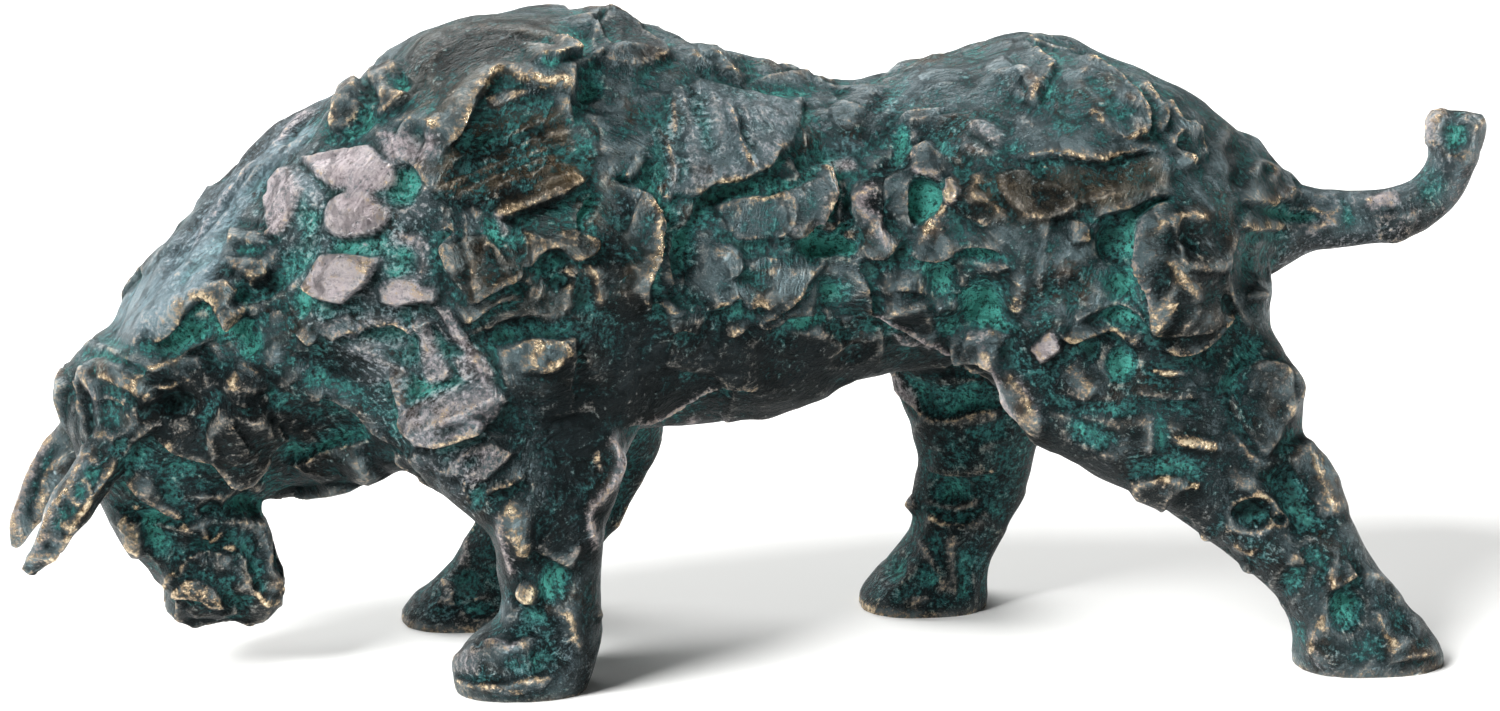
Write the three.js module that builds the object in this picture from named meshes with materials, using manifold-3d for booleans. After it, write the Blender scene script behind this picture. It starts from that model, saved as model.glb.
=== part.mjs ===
// A bronze bull, cast in one piece: head lowered, walking, with the tail curled up behind.
// Millimetres, +Z up. The bull faces -X, its left flank looks towards -Y, and its soles stand on Z = 0.
// The origin is under the centre of its box.
import * as THREE from "three";
import { mergeVertices } from "three/addons/utils/BufferGeometryUtils.js";
import Module from "manifold-3d";

// Driving dimensions
const bullLength = 302; // horn tips to the end of the tail
const bullWidth = 84; // over both flanks
const bullHeight = 132; // soles to the top of the hump
const facetSize = 5.1; // of the faceted surface of the body
const jointBlend = 13; // how far a leg's form flows into the body
const headBlend = 7; // the same for the head under the neck and the tail's root
const earBlend = 3; // and for an ear
const carvingDepth = 1.3; // share of the drawn depth of the carving

// Fineness of the horns and the tail
const hornSides = 9;
const tailSides = 12;

// The forms below are drawn on a bull about 300 mm long. The finished one is brought to the driving sizes.

// Torso and neck: upright sections across the spine. top and bottom are heights, width is the half width,
// girth is how far up the widest place is, and crown and keel round off the back and the underside
// (2 is an ellipse).
const torsoSections = [
  { at: "forelock", x: -137, top: 62, bottom: 54, width: 7, girth: 0.5, crown: 2, keel: 2 },
  { at: "poll", x: -133, top: 65.5, bottom: 49, width: 13.5, girth: 0.5, crown: 2.3, keel: 2 },
  { at: "nape", x: -127.5, top: 71, bottom: 45.5, width: 18, girth: 0.48, crown: 2.3, keel: 2 },
  { at: "upper neck", x: -121, top: 83.2, bottom: 43, width: 21.5, girth: 0.45, crown: 2.2, keel: 2 },
  { at: "mid neck", x: -112, top: 94.2, bottom: 41, width: 25, girth: 0.46, crown: 2.2, keel: 1.8 },
  { at: "throat", x: -103, top: 102, bottom: 38.4, width: 28, girth: 0.5, crown: 2.1, keel: 1.5 },
  { at: "dewlap", x: -94, top: 109.4, bottom: 35, width: 30.5, girth: 0.53, crown: 2.1, keel: 1.35 },
  { at: "low dewlap", x: -87, top: 113.4, bottom: 34.6, width: 32.5, girth: 0.54, crown: 2.1, keel: 1.4 },
  { at: "neck root", x: -77, top: 120.2, bottom: 38.4, width: 35, girth: 0.52, crown: 2.1, keel: 1.6 },
  { at: "brisket", x: -67, top: 127.2, bottom: 43, width: 37, girth: 0.52, crown: 2.1, keel: 1.8 },
  { at: "withers", x: -56, top: 130.6, bottom: 45, width: 38, girth: 0.52, crown: 2, keel: 2 },
  { at: "hump", x: -44, top: 132.4, bottom: 46, width: 38, girth: 0.52, crown: 2, keel: 2 },
  { at: "hump back", x: -33, top: 131.8, bottom: 46.6, width: 36.5, girth: 0.51, crown: 2, keel: 2 },
  { at: "behind the hump", x: -22, top: 128, bottom: 47.3, width: 34.5, girth: 0.48, crown: 2, keel: 2 },
  { at: "ribs", x: -12, top: 124.6, bottom: 48, width: 33, girth: 0.46, crown: 2, keel: 2 },
  { at: "belly", x: 1, top: 120.8, bottom: 49.4, width: 32, girth: 0.44, crown: 2, keel: 2 },
  { at: "back", x: 12, top: 117.8, bottom: 52.4, width: 30.5, girth: 0.46, crown: 2, keel: 2 },
  { at: "loin", x: 23, top: 116.4, bottom: 56, width: 30, girth: 0.5, crown: 2, keel: 2 },
  { at: "flank", x: 34, top: 119.8, bottom: 58.4, width: 31.5, girth: 0.5, crown: 2, keel: 2 },
  { at: "hip", x: 45, top: 121.9, bottom: 59.6, width: 34, girth: 0.52, crown: 2.1, keel: 2 },
  { at: "croup", x: 56, top: 123.6, bottom: 62, width: 35.5, girth: 0.54, crown: 2.1, keel: 2 },
  { at: "rump", x: 67, top: 121.4, bottom: 62, width: 36, girth: 0.54, crown: 2.1, keel: 2 },
  { at: "thigh", x: 78, top: 117.4, bottom: 62, width: 34.5, girth: 0.54, crown: 2.1, keel: 2 },
  { at: "buttock", x: 88, top: 112.8, bottom: 63, width: 30.5, girth: 0.52, crown: 2, keel: 2 },
  { at: "seat", x: 96, top: 106, bottom: 65.5, width: 24, girth: 0.5, crown: 2, keel: 2 },
  { at: "dock", x: 102.5, top: 98, bottom: 68, width: 14, girth: 0.5, crown: 2, keel: 2 },
];

// Head and legs: level sections. front and back are X, out is the distance of the middle from the bull's
// centre plane, width is the half width, and square rounds off the section (2 is an ellipse).
const headSections = [
  { at: "lip", z: 8.6, front: -113.5, back: -104, out: 0, width: 5.5, square: 2 },
  { at: "mouth", z: 11, front: -117.5, back: -100, out: 0, width: 9, square: 2.2 },
  { at: "nostrils", z: 16, front: -122, back: -94.8, out: 0, width: 11.4, square: 2.3 },
  { at: "muzzle", z: 22, front: -125, back: -95, out: 0, width: 11.4, square: 2.3 },
  { at: "nose bridge", z: 28, front: -128.6, back: -97.4, out: 0, width: 11.8, square: 2.3 },
  { at: "cheek", z: 34, front: -131.6, back: -99.4, out: 0, width: 13.4, square: 2.3 },
  { at: "eyes", z: 40, front: -134, back: -98, out: 0, width: 15.4, square: 2.3 },
  { at: "brow", z: 46, front: -136.2, back: -98, out: 0, width: 16.6, square: 2.3 },
  { at: "horn roots", z: 52, front: -138.6, back: -100, out: 0, width: 17, square: 2.3 },
  { at: "forehead", z: 58, front: -139.4, back: -106, out: 0, width: 15.6, square: 2.3 },
  { at: "head crown", z: 63, front: -138.3, back: -114, out: 0, width: 12.5, square: 2.2 },
];

const nearForelegSections = [
  { at: "under the sole", z: -8, front: -64.2, back: -37.4, out: 25.2, width: 12, square: 2.5 },
  { at: "sole", z: 0, front: -64.2, back: -37.4, out: 25.2, width: 12, square: 2.5 },
  { at: "hoof", z: 5, front: -64, back: -36, out: 25.2, width: 12.2, square: 2.5 },
  { at: "coronet", z: 10.5, front: -60.3, back: -34.4, out: 25.4, width: 11.4, square: 2.3 },
  { at: "pastern", z: 15.5, front: -54.4, back: -34.4, out: 25.8, width: 10.2, square: 2.2 },
  { at: "cannon", z: 22, front: -55.6, back: -34.6, out: 26, width: 9.8, square: 2.2 },
  { at: "knee", z: 30, front: -56, back: -34.6, out: 26, width: 10.6, square: 2.2 },
  { at: "below the forearm", z: 35, front: -60.2, back: -33.8, out: 25.6, width: 11.4, square: 2.2 },
  { at: "forearm", z: 41, front: -66.8, back: -31.4, out: 24.6, width: 12.8, square: 2.2 },
  { at: "elbow", z: 50, front: -71.4, back: -29.6, out: 22.6, width: 14.4, square: 2.2 },
  { at: "upper arm", z: 60, front: -73, back: -28, out: 20.4, width: 15.6, square: 2.2 },
  { at: "shoulder point", z: 72, front: -72, back: -26, out: 18.6, width: 16.4, square: 2.2 },
  { at: "shoulder", z: 86, front: -69, back: -26, out: 17, width: 16.6, square: 2.1 },
  { at: "blade top", z: 104, front: -60, back: -32, out: 13, width: 13, square: 2 },
];

const farForelegSections = [
  { at: "under the sole", z: -8, front: -71.4, back: -43, out: 26, width: 12, square: 2.5 },
  { at: "sole", z: 0, front: -71.4, back: -43, out: 26, width: 12, square: 2.5 },
  { at: "hoof", z: 4, front: -68.4, back: -40, out: 26.3, width: 12, square: 2.4 },
  { at: "coronet", z: 9, front: -62.6, back: -35, out: 26.6, width: 11.2, square: 2.3 },
  { at: "pastern", z: 14, front: -58, back: -29.6, out: 26.8, width: 10.2, square: 2.2 },
  { at: "cannon", z: 20, front: -55, back: -25, out: 26.8, width: 10.2, square: 2.2 },
  { at: "knee", z: 28, front: -51.6, back: -20.8, out: 26.4, width: 11.2, square: 2.2 },
  { at: "forearm", z: 36, front: -54, back: -16.4, out: 25.4, width: 12.4, square: 2.2 },
  { at: "elbow", z: 46, front: -64, back: -15.4, out: 23.4, width: 14.2, square: 2.2 },
  { at: "upper arm", z: 58, front: -69, back: -19, out: 20.8, width: 15.6, square: 2.2 },
  { at: "shoulder", z: 78, front: -70, back: -24, out: 17.8, width: 16.6, square: 2.2 },
  { at: "blade top", z: 104, front: -60, back: -32, out: 13, width: 13, square: 2 },
];

const nearHindLegSections = [
  { at: "under the sole", z: -8, front: 105.2, back: 136.4, out: 31, width: 12.8, square: 2.5 },
  { at: "sole", z: 0, front: 105.2, back: 136.4, out: 31, width: 12.8, square: 2.5 },
  { at: "hoof", z: 4.5, front: 105.2, back: 134.2, out: 31, width: 12.6, square: 2.4 },
  { at: "coronet", z: 9.5, front: 104.2, back: 130, out: 30.6, width: 11.8, square: 2.2 },
  { at: "pastern", z: 15, front: 100.6, back: 126, out: 30, width: 11.2, square: 2.2 },
  { at: "cannon", z: 22, front: 92.8, back: 121.2, out: 29.2, width: 11.4, square: 2.2 },
  { at: "below the hock", z: 29, front: 84.2, back: 116.8, out: 28.4, width: 11.8, square: 2.2 },
  { at: "hock", z: 35, front: 75.2, back: 113.6, out: 27.4, width: 12.2, square: 2.2 },
  { at: "shin", z: 41, front: 62.8, back: 110.8, out: 26.4, width: 12.8, square: 2.2 },
  { at: "knee", z: 47, front: 53.6, back: 107, out: 25, width: 13.6, square: 2.2 },
  { at: "thigh foot", z: 56, front: 49.6, back: 107.6, out: 22.8, width: 14.8, square: 2.2 },
  { at: "lower thigh", z: 64, front: 47, back: 103.4, out: 20.6, width: 15.8, square: 2.2 },
  { at: "thigh", z: 76, front: 45, back: 97, out: 18.6, width: 16.8, square: 2.2 },
  { at: "haunch", z: 90, front: 46, back: 92, out: 16.4, width: 17, square: 2.1 },
  { at: "hip top", z: 106, front: 54, back: 80, out: 13, width: 13, square: 2 },
];

const farHindLegSections = [
  { at: "under the sole", z: -8, front: 23.8, back: 52.4, out: 24.4, width: 12.4, square: 2.5 },
  { at: "sole", z: 0, front: 24.6, back: 52.4, out: 24.4, width: 12.4, square: 2.5 },
  { at: "hoof", z: 5, front: 27.6, back: 52.6, out: 24.6, width: 12, square: 2.3 },
  { at: "coronet", z: 10.5, front: 32.2, back: 53.6, out: 24.8, width: 11, square: 2.2 },
  { at: "pastern", z: 15.5, front: 36.8, back: 55.8, out: 25, width: 10.2, square: 2.2 },
  { at: "hock", z: 22.5, front: 36.8, back: 59.8, out: 25, width: 10.8, square: 2.2 },
  { at: "shin", z: 30, front: 37.8, back: 61.6, out: 24.8, width: 11.4, square: 2.2 },
  { at: "knee", z: 37, front: 36.4, back: 63.6, out: 24.4, width: 12.4, square: 2.2 },
  { at: "thigh foot", z: 47, front: 32, back: 72, out: 23, width: 13.6, square: 2.2 },
  { at: "lower thigh", z: 60, front: 31, back: 82, out: 20.6, width: 15.4, square: 2.2 },
  { at: "thigh", z: 76, front: 38, back: 89, out: 18.4, width: 16.6, square: 2.2 },
  { at: "haunch", z: 92, front: 44, back: 89, out: 16, width: 16.6, square: 2.1 },
  { at: "hip top", z: 106, front: 54, back: 78, out: 13, width: 13, square: 2 },
];

// Horns, ears and tail: sections square to their own line. radius lies in the bull's centre plane, and
// width is the half width across it.
const nearHornLine = [
  { at: "root", x: -126, y: 11, z: 55, radius: 5.2, width: 5 },
  { at: "base", x: -131.6, y: 15, z: 48.2, radius: 5.1, width: 4.6 },
  { at: "middle", x: -137.4, y: 16.8, z: 39.4, radius: 4.6, width: 4 },
  { at: "slender", x: -143.2, y: 16.6, z: 30.8, radius: 3, width: 2.8 },
  { at: "tip", x: -147.6, y: 15.2, z: 23.6, radius: 1.4, width: 1.4 },
];
const farHornLine = [
  { at: "root", x: -128, y: 10, z: 55, radius: 5, width: 5 },
  { at: "base", x: -135, y: 14, z: 47, radius: 4.4, width: 4.3 },
  { at: "middle", x: -141.6, y: 15.6, z: 37, radius: 3.9, width: 3.7 },
  { at: "slender", x: -147, y: 15.4, z: 28, radius: 3, width: 2.8 },
  { at: "tip", x: -149.4, y: 14.4, z: 21.4, radius: 1.4, width: 1.4 },
];
const earLine = [
  { at: "root", x: -131, y: 10, z: 57.5, radius: 5.5, width: 6 },
  { at: "fold", x: -123.5, y: 17.5, z: 60, radius: 5, width: 4.6 },
  { at: "lobe", x: -117, y: 22, z: 61.5, radius: 4.6, width: 4.2 },
  { at: "tip", x: -111, y: 24.5, z: 64.5, radius: 3.6, width: 3.4 },
];
const tailRoot = [
  { at: "croup", x: 90, y: 0, z: 90, radius: 12, width: 11 },
  { at: "dock", x: 99, y: 0, z: 88.4, radius: 11.6, width: 10 },
  { at: "neck", x: 105.5, y: 0, z: 85.2, radius: 10.4, width: 7.6 },
  { at: "shank", x: 111, y: 0, z: 85, radius: 7.6, width: 5.8 },
  { at: "shank end", x: 117, y: 0, z: 85.2, radius: 5.2, width: 4.6 },
];
const tailLine = [
  { at: "inside the root", x: 104, y: 0, z: 85.2, radius: 4.6, width: 3.8 },
  { at: "shank", x: 110.5, y: 0, z: 85.2, radius: 6.6, width: 5.2 },
  { at: "upper tail", x: 116, y: 0, z: 85.4, radius: 6.6, width: 5.5 },
  { at: "mid tail", x: 124, y: 0, z: 85.2, radius: 5.9, width: 5.3 },
  { at: "bend", x: 132, y: 0, z: 86, radius: 5.6, width: 5.2 },
  { at: "rise", x: 139.2, y: 0, z: 89.2, radius: 5.3, width: 5.2 },
  { at: "upturn", x: 143.2, y: 0, z: 95, radius: 5, width: 5.2 },
  { at: "tassel", x: 144, y: 0, z: 101, radius: 6, width: 5.6 },
  { at: "cut end", x: 144.4, y: 0, z: 106.6, radius: 6.4, width: 5.8 },
];

// The carving is drawn on a plane seen from the bull's left, turned forward and tipped up by these degrees.
const viewForward = 8;
const viewAbove = 13;
const backReach = 3; // how far the carving of one side runs past the middle of the back

// Profiles of a carved mark, over -1 to 1 along it and across it
const smooth = THREE.MathUtils.smoothstep;
const profiles = {
  slab: (a, b) => (1 - smooth(Math.abs(a), 0.7, 1.15)) * (1 - smooth(Math.abs(b), 0.7, 1.15)) * (0.7 + 0.45 * b),
  ridge: (a, b) => (1 - smooth(Math.abs(a), 0.5, 1.1)) * Math.max(0, 1 - Math.abs(b)),
  dome: (a, b) => Math.max(0, 1 - a * a - b * b) ** 1.3,
  hollow: (a, b) => Math.max(0, 1 - a * a - b * b) ** 0.9,
  dish: (a, b) => (Math.hypot(a, b) < 1.5 ? Math.cos(Math.hypot(a, b) * 2.3) * (1 - Math.hypot(a, b) / 1.5) : 0),
};

// Carving of the left side. across and up place a mark on the drawing plane, turn is its lie in degrees,
// long and wide are its half sizes, and rise is how far it stands out, or lies in where it's negative.
const { slab, ridge, dome, hollow, dish } = profiles;
const leftCarving = [
  { at: "hump slab", form: slab, across: -50.2, up: 116.4, turn: -5, long: 18, wide: 7, rise: 1.6 },
  { at: "flap front", form: ridge, across: -58.4, up: 103.6, turn: 45, long: 12, wide: 5.4, rise: 3 },
  { at: "flap crest", form: ridge, across: -41.2, up: 109, turn: -11, long: 12, wide: 5.4, rise: 2.8 },
  { at: "ribbed plane", form: slab, across: -45.8, up: 96, turn: -14, long: 14.7, wide: 6.6, rise: -1.8 },
  { at: "striped slab", form: slab, across: -53.5, up: 72.6, turn: 8, long: 8.5, wide: 8.9, rise: 2.1 },
  { at: "upper neck slab", form: slab, across: -78.8, up: 90.1, turn: 12, long: 10.5, wide: 6.6, rise: 2.2 },
  { at: "square neck slab", form: slab, across: -77.8, up: 74.2, turn: 6, long: 7.7, wide: 4.8, rise: 2.3 },
  { at: "thin slab", form: slab, across: -67.1, up: 72.2, turn: 8, long: 6.6, wide: 4.2, rise: 1.8 },
  { at: "shoulder strip", form: slab, across: -61.8, up: 64.9, turn: 84, long: 5, wide: 5, rise: 1.8 },
  { at: "shoulder front", form: slab, across: -59.8, up: 42.7, turn: 48, long: 10.9, wide: 7.8, rise: 2.4 },
  { at: "chest slab", form: slab, across: -69.8, up: 52, turn: 40, long: 7, wide: 5.1, rise: 1.8 },
  { at: "elbow", form: dome, across: -40.5, up: 57.9, turn: -20, long: 6.6, wide: 5, rise: 3 },
  { at: "rib edge", form: ridge, across: -19.8, up: 77.3, turn: 84, long: 12.1, wide: 5.4, rise: 2.4 },
  { at: "behind the shoulder", form: hollow, across: -26.2, up: 87, turn: 76, long: 12.8, wide: 5, rise: -2.6 },
  { at: "back slab", form: slab, across: -0.4, up: 99.4, turn: -12, long: 12.9, wide: 8.6, rise: 2 },
  { at: "leaf slab", form: slab, across: 2.9, up: 85.2, turn: 34, long: 9.8, wide: 4.2, rise: 2 },
  { at: "flank pool", form: hollow, across: 13.9, up: 79.8, turn: -12, long: 6.7, wide: 4.8, rise: -3 },
  { at: "small pool", form: hollow, across: 9, up: 64.7, turn: 0, long: 5, wide: 4.8, rise: -1.8 },
  { at: "belly plane", form: slab, across: -7.2, up: 64.1, turn: 12, long: 14.5, wide: 5.9, rise: 1.6 },
  { at: "winding ridge", form: ridge, across: 24.5, up: 89.7, turn: 86, long: 11.4, wide: 5.4, rise: 2.6 },
  { at: "before the haunch", form: hollow, across: 17.9, up: 90.4, turn: 78, long: 11, wide: 4.8, rise: -2.2 },
  { at: "haunch dish", form: dish, across: 31.6, up: 89.1, turn: 0, long: 6.3, wide: 6.3, rise: -2.4 },
  { at: "haunch edge", form: dome, across: 41.4, up: 91.6, turn: 0, long: 5.4, wide: 5.4, rise: 2.4 },
  { at: "haunch mass", form: dome, across: 55.5, up: 82.8, turn: -20, long: 18, wide: 13.7, rise: 2.2 },
  { at: "rump slab", form: slab, across: 71.8, up: 108.6, turn: -22, long: 15.4, wide: 7.1, rise: 1.7 },
  { at: "round bulge", form: dome, across: 83.6, up: 75.9, turn: 84, long: 16.1, wide: 9.8, rise: 3.6 },
  { at: "fold by the bulge", form: hollow, across: 70.5, up: 72.4, turn: 72, long: 11.8, wide: 4.8, rise: -2.6 },
  { at: "flank fold", form: ridge, across: 51.1, up: 51.5, turn: -54, long: 14.8, wide: 5.4, rise: 4.2 },
  { at: "over the fold", form: hollow, across: 45, up: 68.5, turn: -30, long: 8.3, wide: 5.5, rise: -2.6 },
  { at: "thigh slab", form: slab, across: 59.8, up: 59.8, turn: 10, long: 5.9, wide: 4.4, rise: 1.8 },
  { at: "thigh plane", form: slab, across: 69.8, up: 46.4, turn: -30, long: 11.9, wide: 6.7, rise: 2 },
  { at: "back of the thigh", form: dome, across: 104.9, up: 52.6, turn: -78, long: 10.4, wide: 5, rise: 2.4 },
  { at: "thigh hollow", form: hollow, across: 94.7, up: 50.3, turn: -70, long: 8.7, wide: 4.8, rise: -2.2 },
  { at: "hock dish", form: dish, across: 99, up: 27.4, turn: 0, long: 5.2, wide: 5, rise: -2.4 },
  { at: "hamstring", form: ridge, across: 115.4, up: 31.6, turn: -66, long: 10.4, wide: 5.4, rise: 2.4 },
  { at: "by the hamstring", form: hollow, across: 109.1, up: 30.7, turn: -62, long: 9.2, wide: 4.8, rise: -2.2 },
  { at: "shin lump", form: dome, across: 85.7, up: 42.4, turn: -28, long: 8.3, wide: 4.8, rise: 2.4 },
  { at: "fetlock", form: dome, across: 106.3, up: 18.3, turn: -30, long: 6, wide: 4.6, rise: 1.9 },
  { at: "hind hoof front", form: slab, across: 114.7, up: 4.1, turn: -60, long: 6, wide: 4.2, rise: 1.4 },
  { at: "cheek", form: dome, across: -101.6, up: 44.1, turn: 80, long: 9, wide: 7.9, rise: 3.2 },
  { at: "brow lump", form: dome, across: -101.8, up: 53.6, turn: -10, long: 5, wide: 4.2, rise: 2.4 },
  { at: "eye", form: hollow, across: -115.5, up: 49.7, turn: -6, long: 6.6, wide: 4.8, rise: -3.2 },
  { at: "jowl edge", form: ridge, across: -107.6, up: 38.3, turn: -9, long: 13, wide: 5.4, rise: 2 },
  { at: "under the jowl", form: hollow, across: -107.3, up: 33.4, turn: -8, long: 11.9, wide: 4.8, rise: -2.2 },
  { at: "nose bridge", form: dome, across: -124.5, up: 23, turn: -64, long: 6, wide: 4.2, rise: 1.8 },
  { at: "nostril", form: dome, across: -111.5, up: 11.1, turn: -10, long: 4.8, wide: 4.2, rise: 2 },
  { at: "muzzle side", form: hollow, across: -108, up: 20.8, turn: 30, long: 4.8, wide: 4.8, rise: -2 },
  { at: "chin", form: dome, across: -96.9, up: 13.1, turn: 82, long: 5.6, wide: 4.2, rise: 1.8 },
  { at: "dewlap edge", form: ridge, across: -81, up: 36.3, turn: 14, long: 12.3, wide: 5.4, rise: 1.8 },
  { at: "neck crevice", form: hollow, across: -98.7, up: 90.3, turn: 43, long: 13.7, wide: 4.8, rise: -1.9 },
  { at: "nape crevice", form: hollow, across: -108, up: 84.5, turn: 48, long: 11.8, wide: 4.8, rise: -1.6 },
  { at: "crest ridge", form: ridge, across: -112.1, up: 66.5, turn: 30, long: 14, wide: 5.4, rise: 3 },
  { at: "under the crest", form: hollow, across: -104.1, up: 63.5, turn: 22, long: 9.7, wide: 4.8, rise: -2.6 },
  { at: "neck channel", form: hollow, across: -94.1, up: 69.2, turn: 76, long: 11.3, wide: 4.8, rise: -2.4 },
  { at: "neck root slab", form: slab, across: -82.2, up: 60.2, turn: -18, long: 10.9, wide: 5.1, rise: 1.9 },
  { at: "front tab", form: dome, across: -79.5, up: 109.3, turn: 70, long: 5, wide: 4.2, rise: 2 },
  { at: "back tab", form: dome, across: -72.5, up: 110.2, turn: 62, long: 5, wide: 4.2, rise: 2 },
  { at: "throat hollow", form: hollow, across: -86.4, up: 45.4, turn: 16, long: 11.8, wide: 4.8, rise: -2.4 },
  { at: "forearm ridge", form: ridge, across: -46.3, up: 25, turn: -70, long: 8.2, wide: 5.4, rise: 2 },
  { at: "foreleg back", form: ridge, across: -29.7, up: 30.7, turn: 86, long: 12.2, wide: 5.4, rise: 1.8 },
  { at: "pastern knob", form: dome, across: -43, up: 10.3, turn: 0, long: 4.4, wide: 4.2, rise: 2.2 },
  { at: "fore hoof plane", form: slab, across: -50.5, up: 1.2, turn: 24, long: 6.7, wide: 4.2, rise: 1.5 },
  { at: "forearm hollow", form: hollow, across: -38.4, up: 36.8, turn: 84, long: 11.7, wide: 4.8, rise: -2 },
];

// The right side is plainer: slabs and hollows laid in courses, each turned and raised by its own share.
const rightCarving = [];
const courseHeights = [28, 46, 64, 82, 98];
const courseRun = { from: -118, to: 98, marks: 10 };
const courseSpacing = (courseRun.to - courseRun.from) / (courseRun.marks - 1);
courseHeights.forEach((height, course) => {
  for (let place = 0; place < courseRun.marks; place++) {
    const across = courseRun.from + place * courseSpacing;
    const share = Math.sin(across * 1.7 + height * 2.3);
    rightCarving.push({
      form: share > 0.35 ? slab : share > -0.3 ? dome : hollow,
      across: across + (course % 2) * (courseSpacing / 2) + 4 * share,
      up: height + 5 * Math.sin(across * 0.9 + course),
      turn: 55 * share + 20,
      long: 11 + 3 * share,
      wide: 6.5 - share,
      rise: share > -0.3 ? 1.9 : -1.9,
    });
  }
});

// Value of one measure between its stations, on a smooth curve that doesn't overshoot them.
function measureAt(stations, along, measure, place) {
  const last = stations.length - 1;
  let i = 0;
  while (i < last - 1 && place > stations[i + 1][along]) i++;
  const slope = (j) =>
    (stations[j + 1][measure] - stations[j][measure]) / (stations[j + 1][along] - stations[j][along]);
  const tangent = (j) => {
    if (j === 0) return slope(0);
    if (j === last) return slope(last - 1);
    const before = slope(j - 1);
    const after = slope(j);
    return before * after <= 0 ? 0 : (2 * before * after) / (before + after);
  };
  const span = stations[i + 1][along] - stations[i][along];
  const t = THREE.MathUtils.clamp((place - stations[i][along]) / span, 0, 1);
  const rise = stations[i + 1][measure] - stations[i][measure];
  const a = tangent(i) * span - rise;
  const b = rise - tangent(i + 1) * span;
  return stations[i][measure] + rise * t + t * (1 - t) * (a * (1 - t) + b * t);
}

// How far a point is outside a rounded section of half sizes a and b, and past the form's ends.
function distanceOutside(u, v, a, b, squareness, past) {
  const reach = ((Math.abs(u) / a) ** squareness + (Math.abs(v) / b) ** squareness) ** (1 / squareness);
  const away = reach > 0.3 ? Math.hypot(u, v) * (1 - 1 / reach) : (reach - 1) * Math.min(a, b);
  if (past <= 0) return away;
  return away > 0 ? Math.hypot(away, past) : past;
}

function outsideTorso(x, y, z) {
  const [first, last] = [torsoSections[0].x, torsoSections[torsoSections.length - 1].x];
  const place = THREE.MathUtils.clamp(x, first, last);
  const [top, bottom, width, girth, crown, keel] = ["top", "bottom", "width", "girth", "crown", "keel"].map(
    (measure) => measureAt(torsoSections, "x", measure, place),
  );
  const waist = bottom + girth * (top - bottom);
  const above = z > waist;
  return distanceOutside(
    y,
    z - waist,
    width,
    above ? top - waist : waist - bottom,
    above ? crown : keel,
    Math.abs(x - place),
  );
}

function outsideUpright(sections, side, x, y, z) {
  const place = THREE.MathUtils.clamp(z, sections[0].z, sections[sections.length - 1].z);
  const [front, back, out, width, square] = ["front", "back", "out", "width", "square"].map((measure) =>
    measureAt(sections, "z", measure, place),
  );
  return distanceOutside(
    x - (front + back) / 2,
    y - side * out,
    (back - front) / 2,
    width,
    square,
    Math.abs(z - place),
  );
}

// Nearness to two forms at once, flowing from one into the other over the blend.
function blended(one, other, blend) {
  const overlap = Math.max(blend - Math.abs(one - other), 0) / blend;
  return Math.min(one, other) - (overlap * overlap * blend) / 4;
}

// The same for a form along a line of round sections, on the left (side -1) or the right (side 1).
function outsideLine(stations, side, x, y, z) {
  const point = new THREE.Vector3(x, y, z);
  const spots = stations.map((s) => new THREE.Vector3(s.x, side * s.y, s.z));
  let nearest = Infinity;
  for (let i = 0; i < spots.length - 1; i++) {
    const span = spots[i + 1].clone().sub(spots[i]);
    const share = THREE.MathUtils.clamp(point.clone().sub(spots[i]).dot(span) / span.lengthSq(), 0, 1);
    const away = point.clone().sub(spots[i].clone().addScaledVector(span, share));
    const radius = THREE.MathUtils.lerp(stations[i].radius, stations[i + 1].radius, share);
    const width = THREE.MathUtils.lerp(stations[i].width, stations[i + 1].width, share);
    const flat = radius / width;
    nearest = Math.min(nearest, (Math.hypot(away.x, away.z, away.y * flat) - radius) / Math.max(1, flat));
  }
  return nearest;
}

function outsideBody(x, y, z) {
  let outside = outsideTorso(x, y, z);
  outside = blended(outside, outsideUpright(headSections, 1, x, y, z), headBlend);
  outside = blended(outside, outsideUpright(nearForelegSections, -1, x, y, z), jointBlend);
  outside = blended(outside, outsideUpright(farForelegSections, 1, x, y, z), jointBlend);
  outside = blended(outside, outsideUpright(nearHindLegSections, -1, x, y, z), jointBlend);
  outside = blended(outside, outsideUpright(farHindLegSections, 1, x, y, z), jointBlend);
  outside = blended(outside, outsideLine(tailRoot, 1, x, y, z), headBlend);
  outside = blended(outside, outsideLine(earLine, -1, x, y, z), earBlend);
  return blended(outside, outsideLine(earLine, 1, x, y, z), earBlend);
}

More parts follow.
